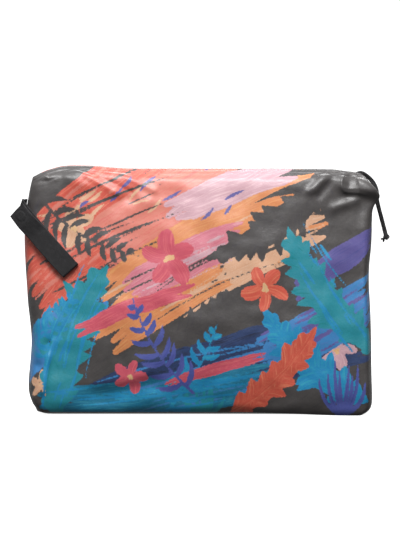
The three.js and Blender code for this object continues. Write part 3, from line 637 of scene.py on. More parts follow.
slider_z = float(zip_at(np.array(slider_x)))
slider_top = 2 * ZIP_GAP + COIL_HEIGHT + SLIDER_PLATE
bridge_z = slider_z + slider_top + BRIDGE_RISE / 2
cord_start = slider_x + BRIDGE_SPAN / 2 + BRIDGE_WALL + STRAND_DIAMETER * 1.5
CORD_ROUTE = [
    (cord_start, 0, bridge_z),
    (148.0, 0, 227.6),
    (149.8, 0.1, 228.6),
    (152.3, 0.4, 229.5),
    (155.1, 0.9, 229.5),
    (158.2, 1.6, 228.2),
    (161.1, 2.4, 226.1),
    (163.7, 3.1, 223.6),
    (166.1, 3.7, 220.9),
    (168.1, 4.1, 217.6),
    (169.5, 4.3, 213.9),
    (170.1, 4.3, 209.9),
    (170.2, 4.3, 205.8),
    (170.6, 4.2, 201.7),
    (171.8, 4.2, 196.5),
    (173.3, 4.2, 190.9),
    (174.9, 4.2, 184.9),
    (176.6, 4.2, 178.5),
    (178.3, 4.2, 171.9),
]
ROUTE_STEPS = 5
SWAY = 0.45
SWAY_PITCH = 26
SIDE_BY_SIDE_FROM = 12
STRAND_SIDES = 10
PLY_RADIUS = 1.28

cord_mat, tree, shader = new_material("braided_cord", Roughness=0.78, Specular_IOR_Level=0.18)
lay = read(tree, "lay", vector=True)
plaits = [wave(tree, scaled(tree, lay, (1.0, lean, 0)), 1.05, 0.6, "DIAGONAL") for lean in (3.0, -3.0)]
ply = math_node(tree, "MAXIMUM", *plaits)
tone = mix_colour(tree, ply, pigment(12, 12, 14), pigment(66, 65, 67))
fuzz = remap(tree, noise(tree, lay, 3.0, 3.0), 0.4, 0.75, 0, 0.4)
tone = mix_colour(tree, fuzz, tone, pigment(84, 82, 84))
dress(tree, shader, Base_Color=tone, Normal=bump(tree, ply, 0.00025, 0.9))

# Its two strands leave the loop one behind the other, turn side by side and sway

route = catmull(CORD_ROUTE, ROUTE_STEPS)
route_length = lengths_along(route)
strand_radius = STRAND_DIAMETER / 2
route_run = np.gradient(route, axis=0)
beside_u = unit(np.cross(route_run, [0, 1.0, 0]))
beside_v = unit(np.cross(beside_u, route_run))
sway = SWAY * np.sin(route_length / SWAY_PITCH * 2 * math.pi + 1)
lay_angle = lerp(math.pi / 2, sway, smoothstep(route_length, 0, SIDE_BY_SIDE_FROM))[:, None]
strands = []
for strand in (-1, 1):
    lay_out = strand * (CORD_DIAMETER / 2 - PLY_RADIUS)
    centre = route + beside_u * (np.cos(lay_angle) * lay_out) + beside_v * (np.sin(lay_angle) * lay_out)
    strands.append(tube(centre, PLY_RADIUS, STRAND_SIDES))
pull_cord = build_tubes("cord_pull", strands, cord_mat)

# The loop of one strand round the bridge's near leg

beside = BRIDGE_WALL + 3 * FIT_GAP + strand_radius
loop_end = cord_start - 2.4 * FIT_GAP
loop_in = slider_x + BRIDGE_SPAN / 2 - 1.7 * FIT_GAP - strand_radius
half_loop = [
    (loop_end, strand_radius + FIT_GAP / 2),
    (loop_end - STRAND_DIAMETER * 0.6, STRAND_DIAMETER * 0.8),
    (slider_x + BRIDGE_SPAN / 2 + BRIDGE_WALL, beside),
    (loop_in + STRAND_DIAMETER * 0.4, beside),
    (loop_in, beside * 0.45),
]
loop_path = [(x, y, bridge_z) for x, y in half_loop] + [(x, -y, bridge_z) for x, y in half_loop[::-1]]
loop_tube = tube(catmull(loop_path, 4), strand_radius, STRAND_SIDES)
pull_loop = build_tubes("cord_pull_loop", [loop_tube], cord_mat)

# The overhand knot, its core and its two tails: how each tail leans and drops, its depth and its swing

KNOT_SPREAD = np.array([0.8, 0.8, 1.0])
KNOT_DEEP = 1.1
KNOT_TURN_STEPS = 72
KNOT_CORE = [1.9, 2.1, 2.2, 2.3, 2.2, 2.0, 1.6]
TAILS = [(-0.95, -0.45, -0.9, 0.25), (-0.5, -0.85, 0.9, -0.2)]

run = route[-1] - route[-3]
run /= np.linalg.norm(run)
knot_u = np.cross(run, [0, 1, 0])
knot_u /= np.linalg.norm(knot_u)
knot_v = np.cross(run, knot_u)
knot_centre = route[-1] + run * (KNOT_LENGTH / 2 - 0.2)
turns = np.linspace(0, 2 * math.pi, KNOT_TURN_STEPS + 1)
trefoil = np.stack(
    [np.sin(turns) + 2 * np.sin(2 * turns), np.cos(turns) - 2 * np.cos(2 * turns), -np.sin(3 * turns)], axis=1
)
u, v, w = (trefoil * KNOT_SPREAD).T[:, :, None]
knot_path = knot_centre + u * knot_u + v * run + w * knot_v * KNOT_DEEP
core = knot_centre + np.linspace(-KNOT_LENGTH / 2 + 0.5, KNOT_LENGTH / 2 - 1.6, len(KNOT_CORE))[:, None] * run
knot_parts = [tube(knot_path, strand_radius * 1.08, STRAND_SIDES), tube(core, KNOT_CORE, 12)]
for lean, down, y, swing in TAILS:
    root = knot_centre + run * KNOT_LENGTH * 0.05 + np.array([0, y, 0])
    way = np.array([lean, 0, down]) / math.hypot(lean, down)
    tip = root + way * (TAIL_LENGTH - strand_radius * 0.9)
    bow = np.array([-way[2], 0, way[0]]) * swing * 3
    tail = catmull([root, lerp(root, tip, 0.5) + bow, tip], 5)
    knot_parts.append(tube(tail, strand_radius * 0.92, STRAND_SIDES))
pull_knot = build_tubes("cord_pull_knot", knot_parts, cord_mat)

for made, gone in ((pull_cord, "pull_cord"), (pull_loop, "pull_loop"), (pull_knot, "pull_knot")):
    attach(made, "root")
    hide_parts(gone)

# The print: strokes of paint as distance fields, one for each colour. A stroke's radii taper as its kind does

NO_PAINT = 50.0
MARGIN = 6
STREAKS_REACH = 0.8
MARK_SHIFT = 3.7
RIB_STEPS = 24
TAPERS = {
    "bristle": (0.4, 0.85, 1.0, 1.05, 1.0, 1.0, 0.95, 0.75, 0.25),
    "lobe": (0.9, 1.0, 0.95, 0.85, 0.6, 0.18),
    "leaflet": (0.6, 1.1, 1.25, 1.1, 0.8, 0.25),
    "petal": (0.35, 0.7, 0.95, 1.05, 0.95, 0.6),
    "blade": (0.9, 1.0, 1.0, 0.95, 0.85, 0.7, 0.5, 0.2),
    "hair": (0.5, 1, 1.1, 1, 1, 0.8, 0.3),
    "dab": (0.4, 1, 1.1, 0.9, 0.3),
}


def stroke_distance(p, path, radii):
    """Signed distance to a stroke, and where along and across it each point lies."""
    best = np.full(len(p), FAR_OFF)
    along = np.zeros(len(p))
    across = np.zeros(len(p))
    run_so_far = 0.0
    for a, b, ra, rb in zip(path[:-1], path[1:], radii[:-1], radii[1:]):
        ab = b - a
        length = math.hypot(*ab) + 1e-9
        t = np.clip(((p - a) @ ab) / length**2, 0, 1)
        off = p - a - t[:, None] * ab
        near = np.hypot(off[:, 0], off[:, 1]) - lerp(ra, rb, t)
        better = near < best
        best = np.where(better, near, best)
        along = np.where(better, run_so_far + t * length, along)
        side = (ab[0] * off[:, 1] - ab[1] * off[:, 0]) / length
        across = np.where(better, side, across)
        run_so_far += length
    return best, along, across


def heading(way):
    """A direction made one long, and the one to its left."""
    way = way / math.hypot(*way)
    return way, np.array([-way[1], way[0]])


def at_angle(turn):
    return np.array([math.cos(turn), math.sin(turn)])


def arc(start, end, bend, count):
    """A bowed line. Bend is its rise at the middle, to the left of the way."""
    start, end = np.array(start, float), np.array(end, float)
    t = np.linspace(0, 1, count)
    left = heading(end - start)[1]
    return start + t[:, None] * (end - start) + (4 * bend * t * (1 - t))[:, None] * left


def rib_place(rib, t):
    """A point of a rib, the rib's direction there and the one to its left."""
    k = int(t * RIB_STEPS)
    return rib[k], *heading(rib[min(k + 1, RIB_STEPS)] - rib[max(k - 1, 0)])


class Paint:
    """The painted layers of one panel, over points given as seen from outside it."""

    def __init__(self, p):
        x, z = p.T
        self.p = p
        self.fields = {name: np.full(len(p), NO_PAINT) for name in LAYERS}
        self.top = np.full(len(p), -1)
        self.lay = np.stack([x * 0.8 + z * 0.6, z * 0.8 - x * 0.6, x * 0], axis=1)
        self.count = 0

    def stroke(self, layer, path, radii):
        path = np.asarray(path, float)
        radii = np.asarray(radii, float)
        margin = radii.max() + MARGIN
        inside = np.all((self.p > path.min(0) - margin) & (self.p < path.max(0) + margin), axis=1)
        if not inside.any():
            return
        d, along, across = stroke_distance(self.p[inside], path, radii)
        field = self.fields[layer]
        order = LAYER_ORDER[layer]
        where = np.flatnonzero(inside)
        field[where] = np.minimum(field[where], d)
        self.count += 1
        shown = (d < STREAKS_REACH) & (self.top[where] <= order)
        chosen = where[shown]
        self.top[chosen] = order
        mark = np.full(shown.sum(), self.count * MARK_SHIFT)
        self.lay[chosen] = np.stack([along[shown], across[shown], mark], axis=1)

    def brush(self, layer, kind, start, end, bend, radius):
        """One bowed stroke that tapers as its kind does."""
        taper = np.array(TAPERS[kind])
        self.stroke(layer, arc(start, end, bend, len(taper)), radius * taper)

    def swathe(self, layer, start, end, bend, width, bristles):
        """A wide brush mark: strokes side by side with ragged ends."""
        start, end = np.array(start, float), np.array(end, float)
        way, left = heading(end - start)
        taper = np.array(TAPERS["bristle"])
        for i in range(bristles):
            share = (i + 0.5) / bristles - 0.5
            shift = left * share * width
            back_off = rng.uniform(-0.5, 1.0) * width * 0.35
            run_on = rng.uniform(-0.8, 1.0) * width * 0.4
            line = arc(start + shift - way * back_off, end + shift + way * run_on, bend, len(taper))
            radii = width / bristles * rng.uniform(0.6, 0.82) * taper
            wobble = rng.uniform(-0.06, 0.06, len(taper))[:, None]
            self.stroke(layer, line + left * wobble * width / bristles * 4, radii)

    def leaf(self, layer, root, tip, bend, width, lobes):
        """A broad leaf, torn along its edges into lobes."""
        rib = arc(root, tip, bend, RIB_STEPS + 1)
        length = math.hypot(*(rib[-1] - rib[0]))
        share = np.linspace(0, 1, RIB_STEPS + 1)
        self.stroke(layer, rib, 1.2 + 0.27 * width * np.sin(math.pi * share**0.8) ** 0.8)
        for side in (-1, 1):
            for i in range(lobes):
                t = (i + rng.uniform(0.3, 0.7)) / lobes * 0.92 + 0.03
                place, way, left = rib_place(rib, t)
                reach = width / 2 * math.sin(math.pi * t**0.75) ** 0.75 * rng.uniform(0.78, 1.15)
                goal = place + side * left * reach + way * reach * (0.5 + 0.35 * t)
                radius = length / lobes * rng.uniform(0.34, 0.46)
                self.brush(layer, "lobe", place - way * 2, goal, side * -reach * 0.1, radius)
        self.stroke(layer, rib, np.linspace(1.6, 0.8, RIB_STEPS + 1))

    def frond(self, layer, root, tip, bend, width, count, thick=2.3):
        """A fern frond: narrow leaflets on a bowed stem."""
        rib = arc(root, tip, bend, RIB_STEPS + 1)
        self.stroke(layer, rib, np.linspace(1.5, 0.6, RIB_STEPS + 1))
        for side in (-1, 1):
            for i in range(count):
                t = (i + 0.5 + 0.2 * side) / count * 0.9 + 0.08
                place, way, left = rib_place(rib, t)
                reach = width / 2 * (1 - t**2.2) ** 0.7 * rng.uniform(0.85, 1.1) + 2
                goal = place + side * left * reach * 0.85 + way * reach * 0.6
                self.brush(layer, "leaflet", place, goal, side * reach * 0.12, thick)

    def blossom(self, layer, heart, centre, radius, turn):
        """Five petals round a heart of another colour."""
        centre = np.array(centre)
        for i in range(5):
            way = at_angle(math.radians(turn) + i * 2 * math.pi / 5 + rng.uniform(-0.12, 0.12))
            reach = radius * rng.uniform(0.85, 1.05)
            wide = radius * rng.uniform(0.27, 0.34)
            self.brush(layer, "petal", centre + way * radius * 0.16, centre + way * reach, reach * 0.08, wide)
        for _ in range(4):
            way = at_angle(rng.uniform(0, 2 * math.pi)) * radius * 0.17
            self.stroke(heart, [centre - way * 0.2, centre + way], [radius * 0.1, radius * 0.07])

    def tuft(self, layer, root, high, count, spread):
        """Blades of grass from one root."""
        for i in range(count):
            share = (i + 0.5) / count * 2 - 1
            tall = high * (1 - 0.35 * share**2) * rng.uniform(0.75, 1.1)
            tip = (root[0] + share * spread + rng.uniform(-3, 3), root[1] + tall)
            foot = (root[0] + share * spread * 0.25, root[1])
            self.brush(layer, "blade", foot, tip, -share * spread * 0.22, 2.0)

    def hairs(self, layer, start, end, bend, width, count):
        """Thin lines of a dry brush along one way."""
        start, end = np.array(start, float), np.array(end, float)
        left = heading(end - start)[1]
        for _ in range(count):
            shift = left * rng.uniform(-0.5, 0.5) * width
            a, b = sorted(rng.uniform(-0.05, 1.05, 2))
            first, last = lerp(start, end, a) + shift, lerp(start, end, b) + shift
            self.brush(layer, "hair", first, last, bend * (b - a) ** 2, rng.uniform(0.5, 1.5))

    def dabs(self, layer, centre, reach, count, size, angle):
        """Loose short strokes."""
        for _ in range(count):
            at = np.array(centre) + rng.normal(0, 0.5, 2) * np.array(reach)
            way = at_angle(math.radians(angle + rng.uniform(-25, 25))) * size * rng.uniform(0.6, 1.5)
            radius = size * rng.uniform(0.13, 0.22)
            self.brush(layer, "dab", at - way, at + way, size * rng.uniform(-0.2, 0.2), radius)


# Colours of the paint, from the lowest layer to the highest: main colour and the colour of its streaks

PAINTS = {
    "navy": ((52, 72, 118), (40, 48, 74)),
    "water": ((22, 124, 162), (54, 150, 178)),
    "coral": ((222, 92, 76), (236, 128, 104)),
    "salmon": ((232, 138, 120), (226, 112, 104)),
    "orange": ((232, 146, 92), (236, 164, 104)),
    "peach": ((232, 178, 142), (238, 198, 168)),
    "pink": ((226, 128, 146), (232, 160, 168)),
    "blush": ((217, 170, 181), (232, 192, 198)),
    "blue": ((60, 142, 206), (86, 128, 196)),
    "purple": ((106, 98, 166), (88, 88, 156)),
    "shade": ((79, 75, 74), (70, 66, 70)),
    "teal": ((38, 152, 170), (22, 140, 150)),
    "azure": ((26, 146, 202), (44, 166, 196)),
    "hot": ((219, 90, 110), (232, 112, 120)),
    "red": ((226, 96, 76), (238, 132, 100)),
    "indigo": ((86, 96, 174), (70, 82, 160)),
    "heart": ((238, 196, 150), (240, 170, 96)),
}
LAYERS = {name: (pigment(*main), pigment(*streak)) for name, (main, streak) in PAINTS.items()}
LAYER_ORDER = {name: i for i, name in enumerate(LAYERS)}
GROUND = (pigment(79, 75, 74), pigment(70, 67, 68))


def paint_front(paint):
    paint.swathe("navy", (-96, 8), (150, 74), 8, 52, 6)
    paint.swathe("water", (-150, 4), (70, 40), -6, 40, 6)
    paint.swathe("coral", (-168, 122), (-34, 232), 8, 76, 7)
    paint.swathe("salmon", (-92, 158), (52, 238), 6, 54, 6)
    paint.swathe("orange", (-84, 92), (100, 192), 12, 70, 7)
    paint.swathe("peach", (24, 138), (112, 182), 4, 34, 4)
    paint.swathe("pink", (-66, 118), (40, 172), 4, 30, 4)
    paint.swathe("blush", (-24, 194), (92, 236), 2, 26, 3)
    paint.swathe("blue", (62, 58), (170, 118), -5, 40, 5)
    paint.swathe("blue", (-176, 48), (-96, 108), 2, 36, 4)
    paint.swathe("purple", (92, 120), (168, 170), 0, 20, 3)
    paint.swathe("hot", (-118, 80), (-8, 120), 3, 13, 2)
    paint.swathe("hot", (-30, 30), (62, 58), 2, 8, 2)
    paint.leaf("shade", (124, 228), (6, 150), 12, 46, 9)
    paint.leaf("shade", (-40, 70), (36, 122), -8, 34, 7)
    paint.leaf("teal", (-136, 2), (-88, 142), 14, 58, 9)
    paint.leaf("teal", (170, 62), (84, 178), 12, 48, 9)
    paint.leaf("azure", (160, 14), (60, 104), 12, 44, 8)
    paint.leaf("red", (30, 4), (110, 84), -8, 36, 7)
    paint.frond("shade", (-160, 214), (-58, 152), -12, 44, 9)
    paint.frond("indigo", (-6, 22), (-64, 112), 8, 44, 8)
    paint.frond("azure", (-34, 2), (16, 88), -6, 40, 8)
    paint.frond("azure", (-172, 60), (-120, 118), -6, 34, 7)
    paint.blossom("hot", "heart", (-30, 150), 24, 18)
    paint.blossom("red", "heart", (62, 122), 20, 50)
    paint.blossom("blush", "heart", (130, 62), 17, 5)
    paint.blossom("peach", "heart", (-120, 178), 17, 30)
    paint.blossom("hot", "heart", (-66, 38), 15, 70)
    paint.blossom("peach", "heart", (-152, 30), 13, 12)
    paint.tuft("indigo", (136, 2), 50, 8, 24)
    paint.tuft("teal", (2, 0), 34, 7, 22)
    paint.dabs("peach", (-96, 200), (60, 18), 10, 8, 35)
    paint.dabs("azure", (-140, 92), (26, 22), 7, 8, 30)
    paint.dabs("purple", (-20, 208), (70, 20), 9, 8, 40)
    paint.hairs("salmon", (-166, 124), (-40, 226), 8, 78, 26)
    paint.hairs("peach", (-80, 96), (104, 190), 12, 66, 26)
    paint.hairs("blush", (-60, 122), (44, 170), 4, 30, 12)
    paint.hairs("shade", (-150, 150), (10, 220), 8, 90, 16)
    paint.hairs("shade", (-60, 100), (110, 176), 12, 60, 12)
    paint.hairs("purple", (64, 60), (168, 116), -5, 40, 12)
    paint.hairs("azure", (-140, 10), (-94, 134), 14, 40, 16)
    paint.hairs("azure", (166, 60), (90, 170), 12, 36, 14)
    paint.hairs("blue", (-100, 12), (140, 66), 8, 46, 14)
    paint.hairs("azure", (-140, 8), (60, 34), -6, 34, 16)


def paint_back(paint):
    paint.swathe("navy", (-150, 70), (96, 10), 8, 52, 6)
    paint.swathe("water", (-60, 40), (150, 4), -6, 40, 6)
    paint.swathe("coral", (34, 230), (168, 124), -8, 76, 7)
    paint.swathe("orange", (-104, 204), (70, 100), -12, 66, 7)
    paint.swathe("salmon", (-60, 236), (80, 176), 4, 46, 5)
    paint.swathe("pink", (-30, 180), (80, 122), -4, 30, 4)
    paint.swathe("blue", (-170, 124), (-66, 66), 5, 40, 5)
    paint.swathe("blue", (96, 104), (176, 56), 2, 32, 4)
    paint.swathe("purple", (-166, 176), (-100, 130), 0, 20, 3)
    paint.leaf("teal", (136, 2), (90, 142), -14, 58, 9)
    paint.leaf("azure", (-160, 14), (-62, 106), -12, 44, 8)
    paint.leaf("red", (-30, 4), (-104, 82), 8, 36, 7)
    paint.leaf("shade", (-116, 228), (-10, 150), -12, 46, 9)
    paint.frond("indigo", (6, 22), (66, 112), -8, 44, 8)
    paint.frond("teal", (-168, 96), (-110, 186), -8, 44, 8)
    paint.frond("azure", (36, 2), (-14, 88), 6, 40, 8)
    paint.blossom("hot", "heart", (32, 156), 24, 40)
    paint.blossom("red", "heart", (-64, 122), 20, 10)
    paint.blossom("blush", "heart", (-128, 62), 17, 5)
    paint.blossom("peach", "heart", (150, 36), 13, 12)
    paint.tuft("indigo", (-132, 2), 50, 8, 24)
    paint.dabs("purple", (20, 208), (70, 20), 9, 8, -40)
    paint.hairs("salmon", (40, 226), (166, 124), -8, 78, 24)
    paint.hairs("peach", (-104, 190), (80, 96), -12, 66, 24)
    paint.hairs("shade", (-10, 220), (150, 150), -8, 90, 16)
    paint.hairs("azure", (140, 10), (94, 134), -14, 40, 16)
    paint.hairs("blue", (-140, 66), (100, 12), 8, 46, 14)


# The coated cloth, printed

EDGE_SOFTNESS = 0.25
RAGGEDNESS = 1.5


def cloth_material(name):
    mat, tree, shader = new_material(name, Roughness=0.4, Specular_IOR_Level=0.25)
    place = read(tree, "cloth_place", vector=True)
    lay = read(tree, "stroke_lay", vector=True)
    streak = noise(tree, scaled(tree, lay, (0.035, 0.75, 1.0)), 1.0, 4.0, 0.65)
    ragged = remap(tree, noise(tree, place, 0.42, 3.0, 0.6), 0, 1, -RAGGEDNESS, RAGGEDNESS)
    shift = math_node(tree, "ADD", ragged, remap(tree, streak, 0.3, 0.7, -0.5, 0.5))
    spots = remap(tree, streak, 0.5, 0.62, 0, 1)
    colour = mix_colour(tree, spots, *GROUND)
    for layer, pair in LAYERS.items():
        edge = math_node(tree, "ADD", read(tree, "paint_" + layer), shift)
        mask = remap(tree, edge, -EDGE_SOFTNESS, EDGE_SOFTNESS, 1, 0)
        colour = mix_colour(tree, mask, colour, mix_colour(tree, spots, *pair))
    broad = remap(tree, noise(tree, place, 0.035, 3.0), 0.3, 0.7, 0.94, 1.06)
    light = math_node(tree, "MULTIPLY", remap(tree, streak, 0.25, 0.75, 0.92, 1.08), broad)
    grey = node(tree, "CombineColor", {0: light, 1: light, 2: light})
    colour = mix_colour(tree, 1.0, colour, grey, "MULTIPLY")
    rough = remap(tree, noise(tree, place, 0.2, 3.0), 0.3, 0.7, 0.34, 0.46)
    threads = math_node(tree, "ADD", *(wave(tree, place, 0.55, 0.3, way) for way in "XZ"))
    weave = bump(tree, threads, 0.00003, 0.6)
    crinkle = noise(tree, place, 0.06, 4.0, 0.55)
    dress(tree, shader, Base_Color=colour, Roughness=rough, Normal=bump(tree, crinkle, 0.0016, 0.35, weave))
    return mat


print_mat = cloth_material("printed_cloth")

# The body's outer skin, over the rim and down inside. Its rows run through these levels: from, to, how many

OUTER_LEVELS = [(0, 0.06, 16), (0.06, 0.86, 98), (0.86, 0.97, 26), (0.97, 1.0, 15)]
INNER_LEVELS = [(0.99, 0.86, 20), (0.84, 0.03, 24), (0.008, 0.008, 1)]
BACK_SHIFT = 500

outer_levels = np.unique(np.concatenate([np.linspace(*run) for run in OUTER_LEVELS]))
inner_levels = np.concatenate([np.linspace(*run) for run in INNER_LEVELS])
front = skin_side(-1, outer_levels)
back_side = skin_side(1, outer_levels)
skin = ring_of(front, back_side)
normals = grid_normals(skin)


def panel_places(points):
    """Distance round the bag from a panel's middle, and height, for each point of a side."""
    run_along = lengths_along(points)
    middle = np.array([np.interp(0, row[:, 0], s) for row, s in zip(points, run_along)])
    return run_along - middle[:, None], points[:, :, 2]


places = {}
for name, points, hand, shift, paint_panel in (
    ("front", front, 1, 0, paint_front),
    ("back", back_side, -1, BACK_SHIFT, paint_back),
):
    u, v = panel_places(points)
    u = hand * u
    panel = Paint(np.stack([u.ravel(), v.ravel()], axis=1))
    paint_panel(panel)
    places[name] = {
        "fields": {k: f.reshape(u.shape) for k, f in panel.fields.items()},
        "lay": panel.lay.reshape(*u.shape, 3),
        "place": np.stack([u, 0 * u + shift, v], axis=2),
    }


def ring_values(key, layer=None):
    """What both panels hold under a key, as one ring."""
    front_values, back_values = (places[name][key] for name in ("front", "back"))
    if layer:
        return ring_of(front_values[layer], back_values[layer])
    return ring_of(front_values, back_values)


# Fine relief that the solids leave out, in millimetres

HEM_RISE = 0.35
STITCH_BELOW_RIM = 3.0
STITCH_DEPTH = 0.3
STITCH_HALF_WIDTH = 0.55
ROLL_FROM = 0.2
ROLL_ROWS = 6
ROLL_RISE = 0.6
HEM_DOWN_TO = 0.93
PAINTED_OVER_RIM = 8

column = np.arange(AROUND)
from_seam = np.minimum(np.minimum(column, np.abs(column - COLUMNS)), AROUND - column)[None, :]


def ring_relief(points, levels):
    """Creases and soft waves at each point of a skin, left out near its seams, rim and foot."""
    x, y, z = points[:, :, 0], points[:, :, 1], points[:, :, 2]
    below_rim = (1 - levels[:, None]) * BAG_HEIGHT
    waves = waves_at(np.where(y < 0, x, BACK_SHIFT - x), z)
    waves = waves * smoothstep(below_rim, 3, 12) * smoothstep(z, 3, 14)
    creases = np.where(y < 0, creases_at(x, z), CREASES_BEHIND * creases_at(-x, z))
    return (waves + creases * smoothstep(below_rim, 1.5, 6)) * smoothstep(from_seam, 2, SIDE_STEPS + 2)


from_rim = np.maximum(0, (1 - outer_levels[:, None]) * BAG_HEIGHT)
hem = HEM_RISE * (smoothstep(from_rim, 3.4, 2.6) - 0.4) * smoothstep(from_rim, 14, 4)
groove = -STITCH_DEPTH * np.exp(-(((from_rim - STITCH_BELOW_RIM) / STITCH_HALF_WIDTH) ** 2))
relief = (hem + groove) * smoothstep(from_seam, 1, 4) + ring_relief(skin, outer_levels)
outer = skin + normals * relief[:, :, None]
rim_up = np.array([0, 0, 1.0])
rim_normal = normals[-1] * np.array([1, 1, 0])
rim_normal /= np.maximum(np.linalg.norm(rim_normal, axis=1, keepdims=True), 1e-6)
rim_radius = (CLOTH + HEM_THICKNESS) / 2
rolled = []
for turn in np.linspace(ROLL_FROM, math.pi, ROLL_ROWS):
    inward = rim_normal * rim_radius * (1 - math.cos(turn))
    rolled.append(outer[-1] - inward + rim_up * rim_radius * ROLL_RISE * math.sin(turn))

# The lining's rows run downwards, so their normals point into the bag

inner_ring = ring_of(skin_side(-1, inner_levels), skin_side(1, inner_levels))
thick = np.where(inner_levels > HEM_DOWN_TO, CLOTH + HEM_THICKNESS, CLOTH)[:, None, None]
inner_relief = ring_relief(inner_ring, inner_levels)[:, :, None]
lining = inner_ring - grid_normals(inner_ring) * (inner_relief - thick)
rows = np.concatenate([outer, np.array(rolled), lining], axis=0)
bag_cloth = build("bag_cloth", rows, grid_faces(len(rows), AROUND, closed=True), print_mat)


def spread_rows(values, count):
    """Values of the outer rows, carried over the rim as they stand there."""
    return np.concatenate([values] + [values[-1:]] * count, axis=0)


extra = len(rows) - len(outer)
for layer in LAYERS:
    field = spread_rows(ring_values("fields", layer), extra)
    field[len(outer) + PAINTED_OVER_RIM :] = NO_PAINT
    attribute(bag_cloth, "paint_" + layer, field.ravel())
attribute(bag_cloth, "stroke_lay", spread_rows(ring_values("lay"), extra).reshape(-1, 3))
cloth_place = spread_rows(ring_values("place"), extra)
rim_z = cloth_place[len(outer) - 1 : len(outer), :, 2]
cloth_place[len(outer) :, :, 2] = 2 * rim_z - rows[len(outer) :, :, 2]
attribute(bag_cloth, "cloth_place", cloth_place.reshape(-1, 3))
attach(bag_cloth, "root")
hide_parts("bag_body")

# The base, whose short ends close onto the walls

base_rows = np.arange(2 * SIDE_STEPS + 1)
base_columns = np.arange(FACE_STEPS + 1)
floor_ring = outer[0]
left_end = floor_ring[(SIDE_STEPS - base_rows) % AROUND]
right_end = floor_ring[SIDE_STEPS + FACE_STEPS + base_rows]
edge = floor_ring[SIDE_STEPS + base_columns]
edge_x, edge_y = edge[None, :, 0], edge[None, :, 1]
base = np.zeros((len(base_rows), len(base_columns), 3))
base[:, :, 0] = edge_x
base[:, :, 1] = lerp(left_end[:, None, 1], right_end[:, None, 1], np.linspace(0, 1, FACE_STEPS + 1)[None, :])
inside = np.minimum(edge_x - left_end[:, None, 0], right_end[:, None, 0] - edge_x)
inside = np.minimum(inside, np.abs(edge_y) - np.abs(base[:, :, 1]))
toward = np.abs(base[:, :, 1] / edge_y) ** (1 / CORNER_FULLNESS) * np.sign(base[:, :, 1])
base[:, :, 2] = bottom_at(edge_x, toward) * np.maximum(0, 1 - np.maximum(inside, 0) / LIFT_REACH) ** 2
base[:, 0] = left_end
base[:, -1] = right_end
base[0] = edge
base[-1] = floor_ring[AROUND - SIDE_STEPS - base_columns]
under_faces = grid_faces(len(base_rows), len(base_columns), flip=True)
top_faces = grid_faces(len(base_rows), len(base_columns)) + base[:, :, 0].size
base_points = np.vstack([base.reshape(-1, 3), (base + np.array([0, 0, CLOTH])).reshape(-1, 3)])
bag_base = build("bag_base", base_points, np.vstack([under_faces, top_faces]), print_mat)
for layer in LAYERS:
    attribute(bag_base, "paint_" + layer, np.full(len(base_points), NO_PAINT))
for name in ("stroke_lay", "cloth_place"):
    attribute(bag_base, name, base_points[:, [0, 2, 1]])
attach(bag_base, "root")
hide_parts("base_panel")

# The zip's tapes, tucked under the hem and bent in to the teeth

TAPE_LEFT_STEPS = 6
TAPE_RIGHT_STEPS = 10
TAPE_SECTIONS = 120
TAPE_DIP = 0.5


def part_at(x):
    """How far a tape's edge stands from the middle, where the slider has parted them."""
    parted = smoothstep(x, slider_x - SLIDER_LENGTH / 2, slider_x - SLIDER_LENGTH / 6)
    return lerp(FIT_GAP / 2, POST_WIDTH / 2 + FIT_GAP, parted)


def at_level(line, level):
    """The point of a wall's line at a level."""
    return np.array([np.interp(level, outer_levels, line[:, i]) for i in range(3)])


def tape_line(wall, side):
    """The tape's upper face at one place, from under the hem to the teeth."""
    rim = at_level(wall, 1)
    z = min(float(zip_at(rim[0])), rim[2] - ZIP_SINK)
    tucked = [at_level(wall, (z - s * TAPE_TUCK) / rim[2]) for s in (1, 0.67, 0.33, 0)]
    leave = tucked[-1]
    inner_z = min(float(zip_at(leave[0])), leave[2] + ZIP_SINK)
    meet = np.array([leave[0], side * float(part_at(leave[0])), inner_z])
    bend_in = []
    for share in (0.25, 0.5, 0.75):
        bend_in.append(lerp(leave, meet, share) + np.array([0, 0, -TAPE_DIP * math.sin(math.pi * share)]))
    return np.array([*tucked, *bend_in, meet])


tape_mat, tree, shader = new_material("woven_tape", Roughness=0.75, Specular_IOR_Level=0.2)
lay = read(tree, "lay", vector=True)
twill = wave(tree, lay, 0.5, 0.8, "DIAGONAL")
ribs = wave(tree, lay, 0.35, 0.2, "Y")
tone = mix_colour(tree, twill, pigment(200, 74, 66), pigment(232, 104, 90))
wear = remap(tree, noise(tree, lay, 0.5, 3.0), 0.4, 0.7, 0, 0.35)
tone = mix_colour(tree, wear, tone, pigment(182, 64, 60))
dress(tree, shader, Base_Color=tone, Normal=bump(tree, math_node(tree, "ADD", twill, ribs), 0.00012, 0.8))

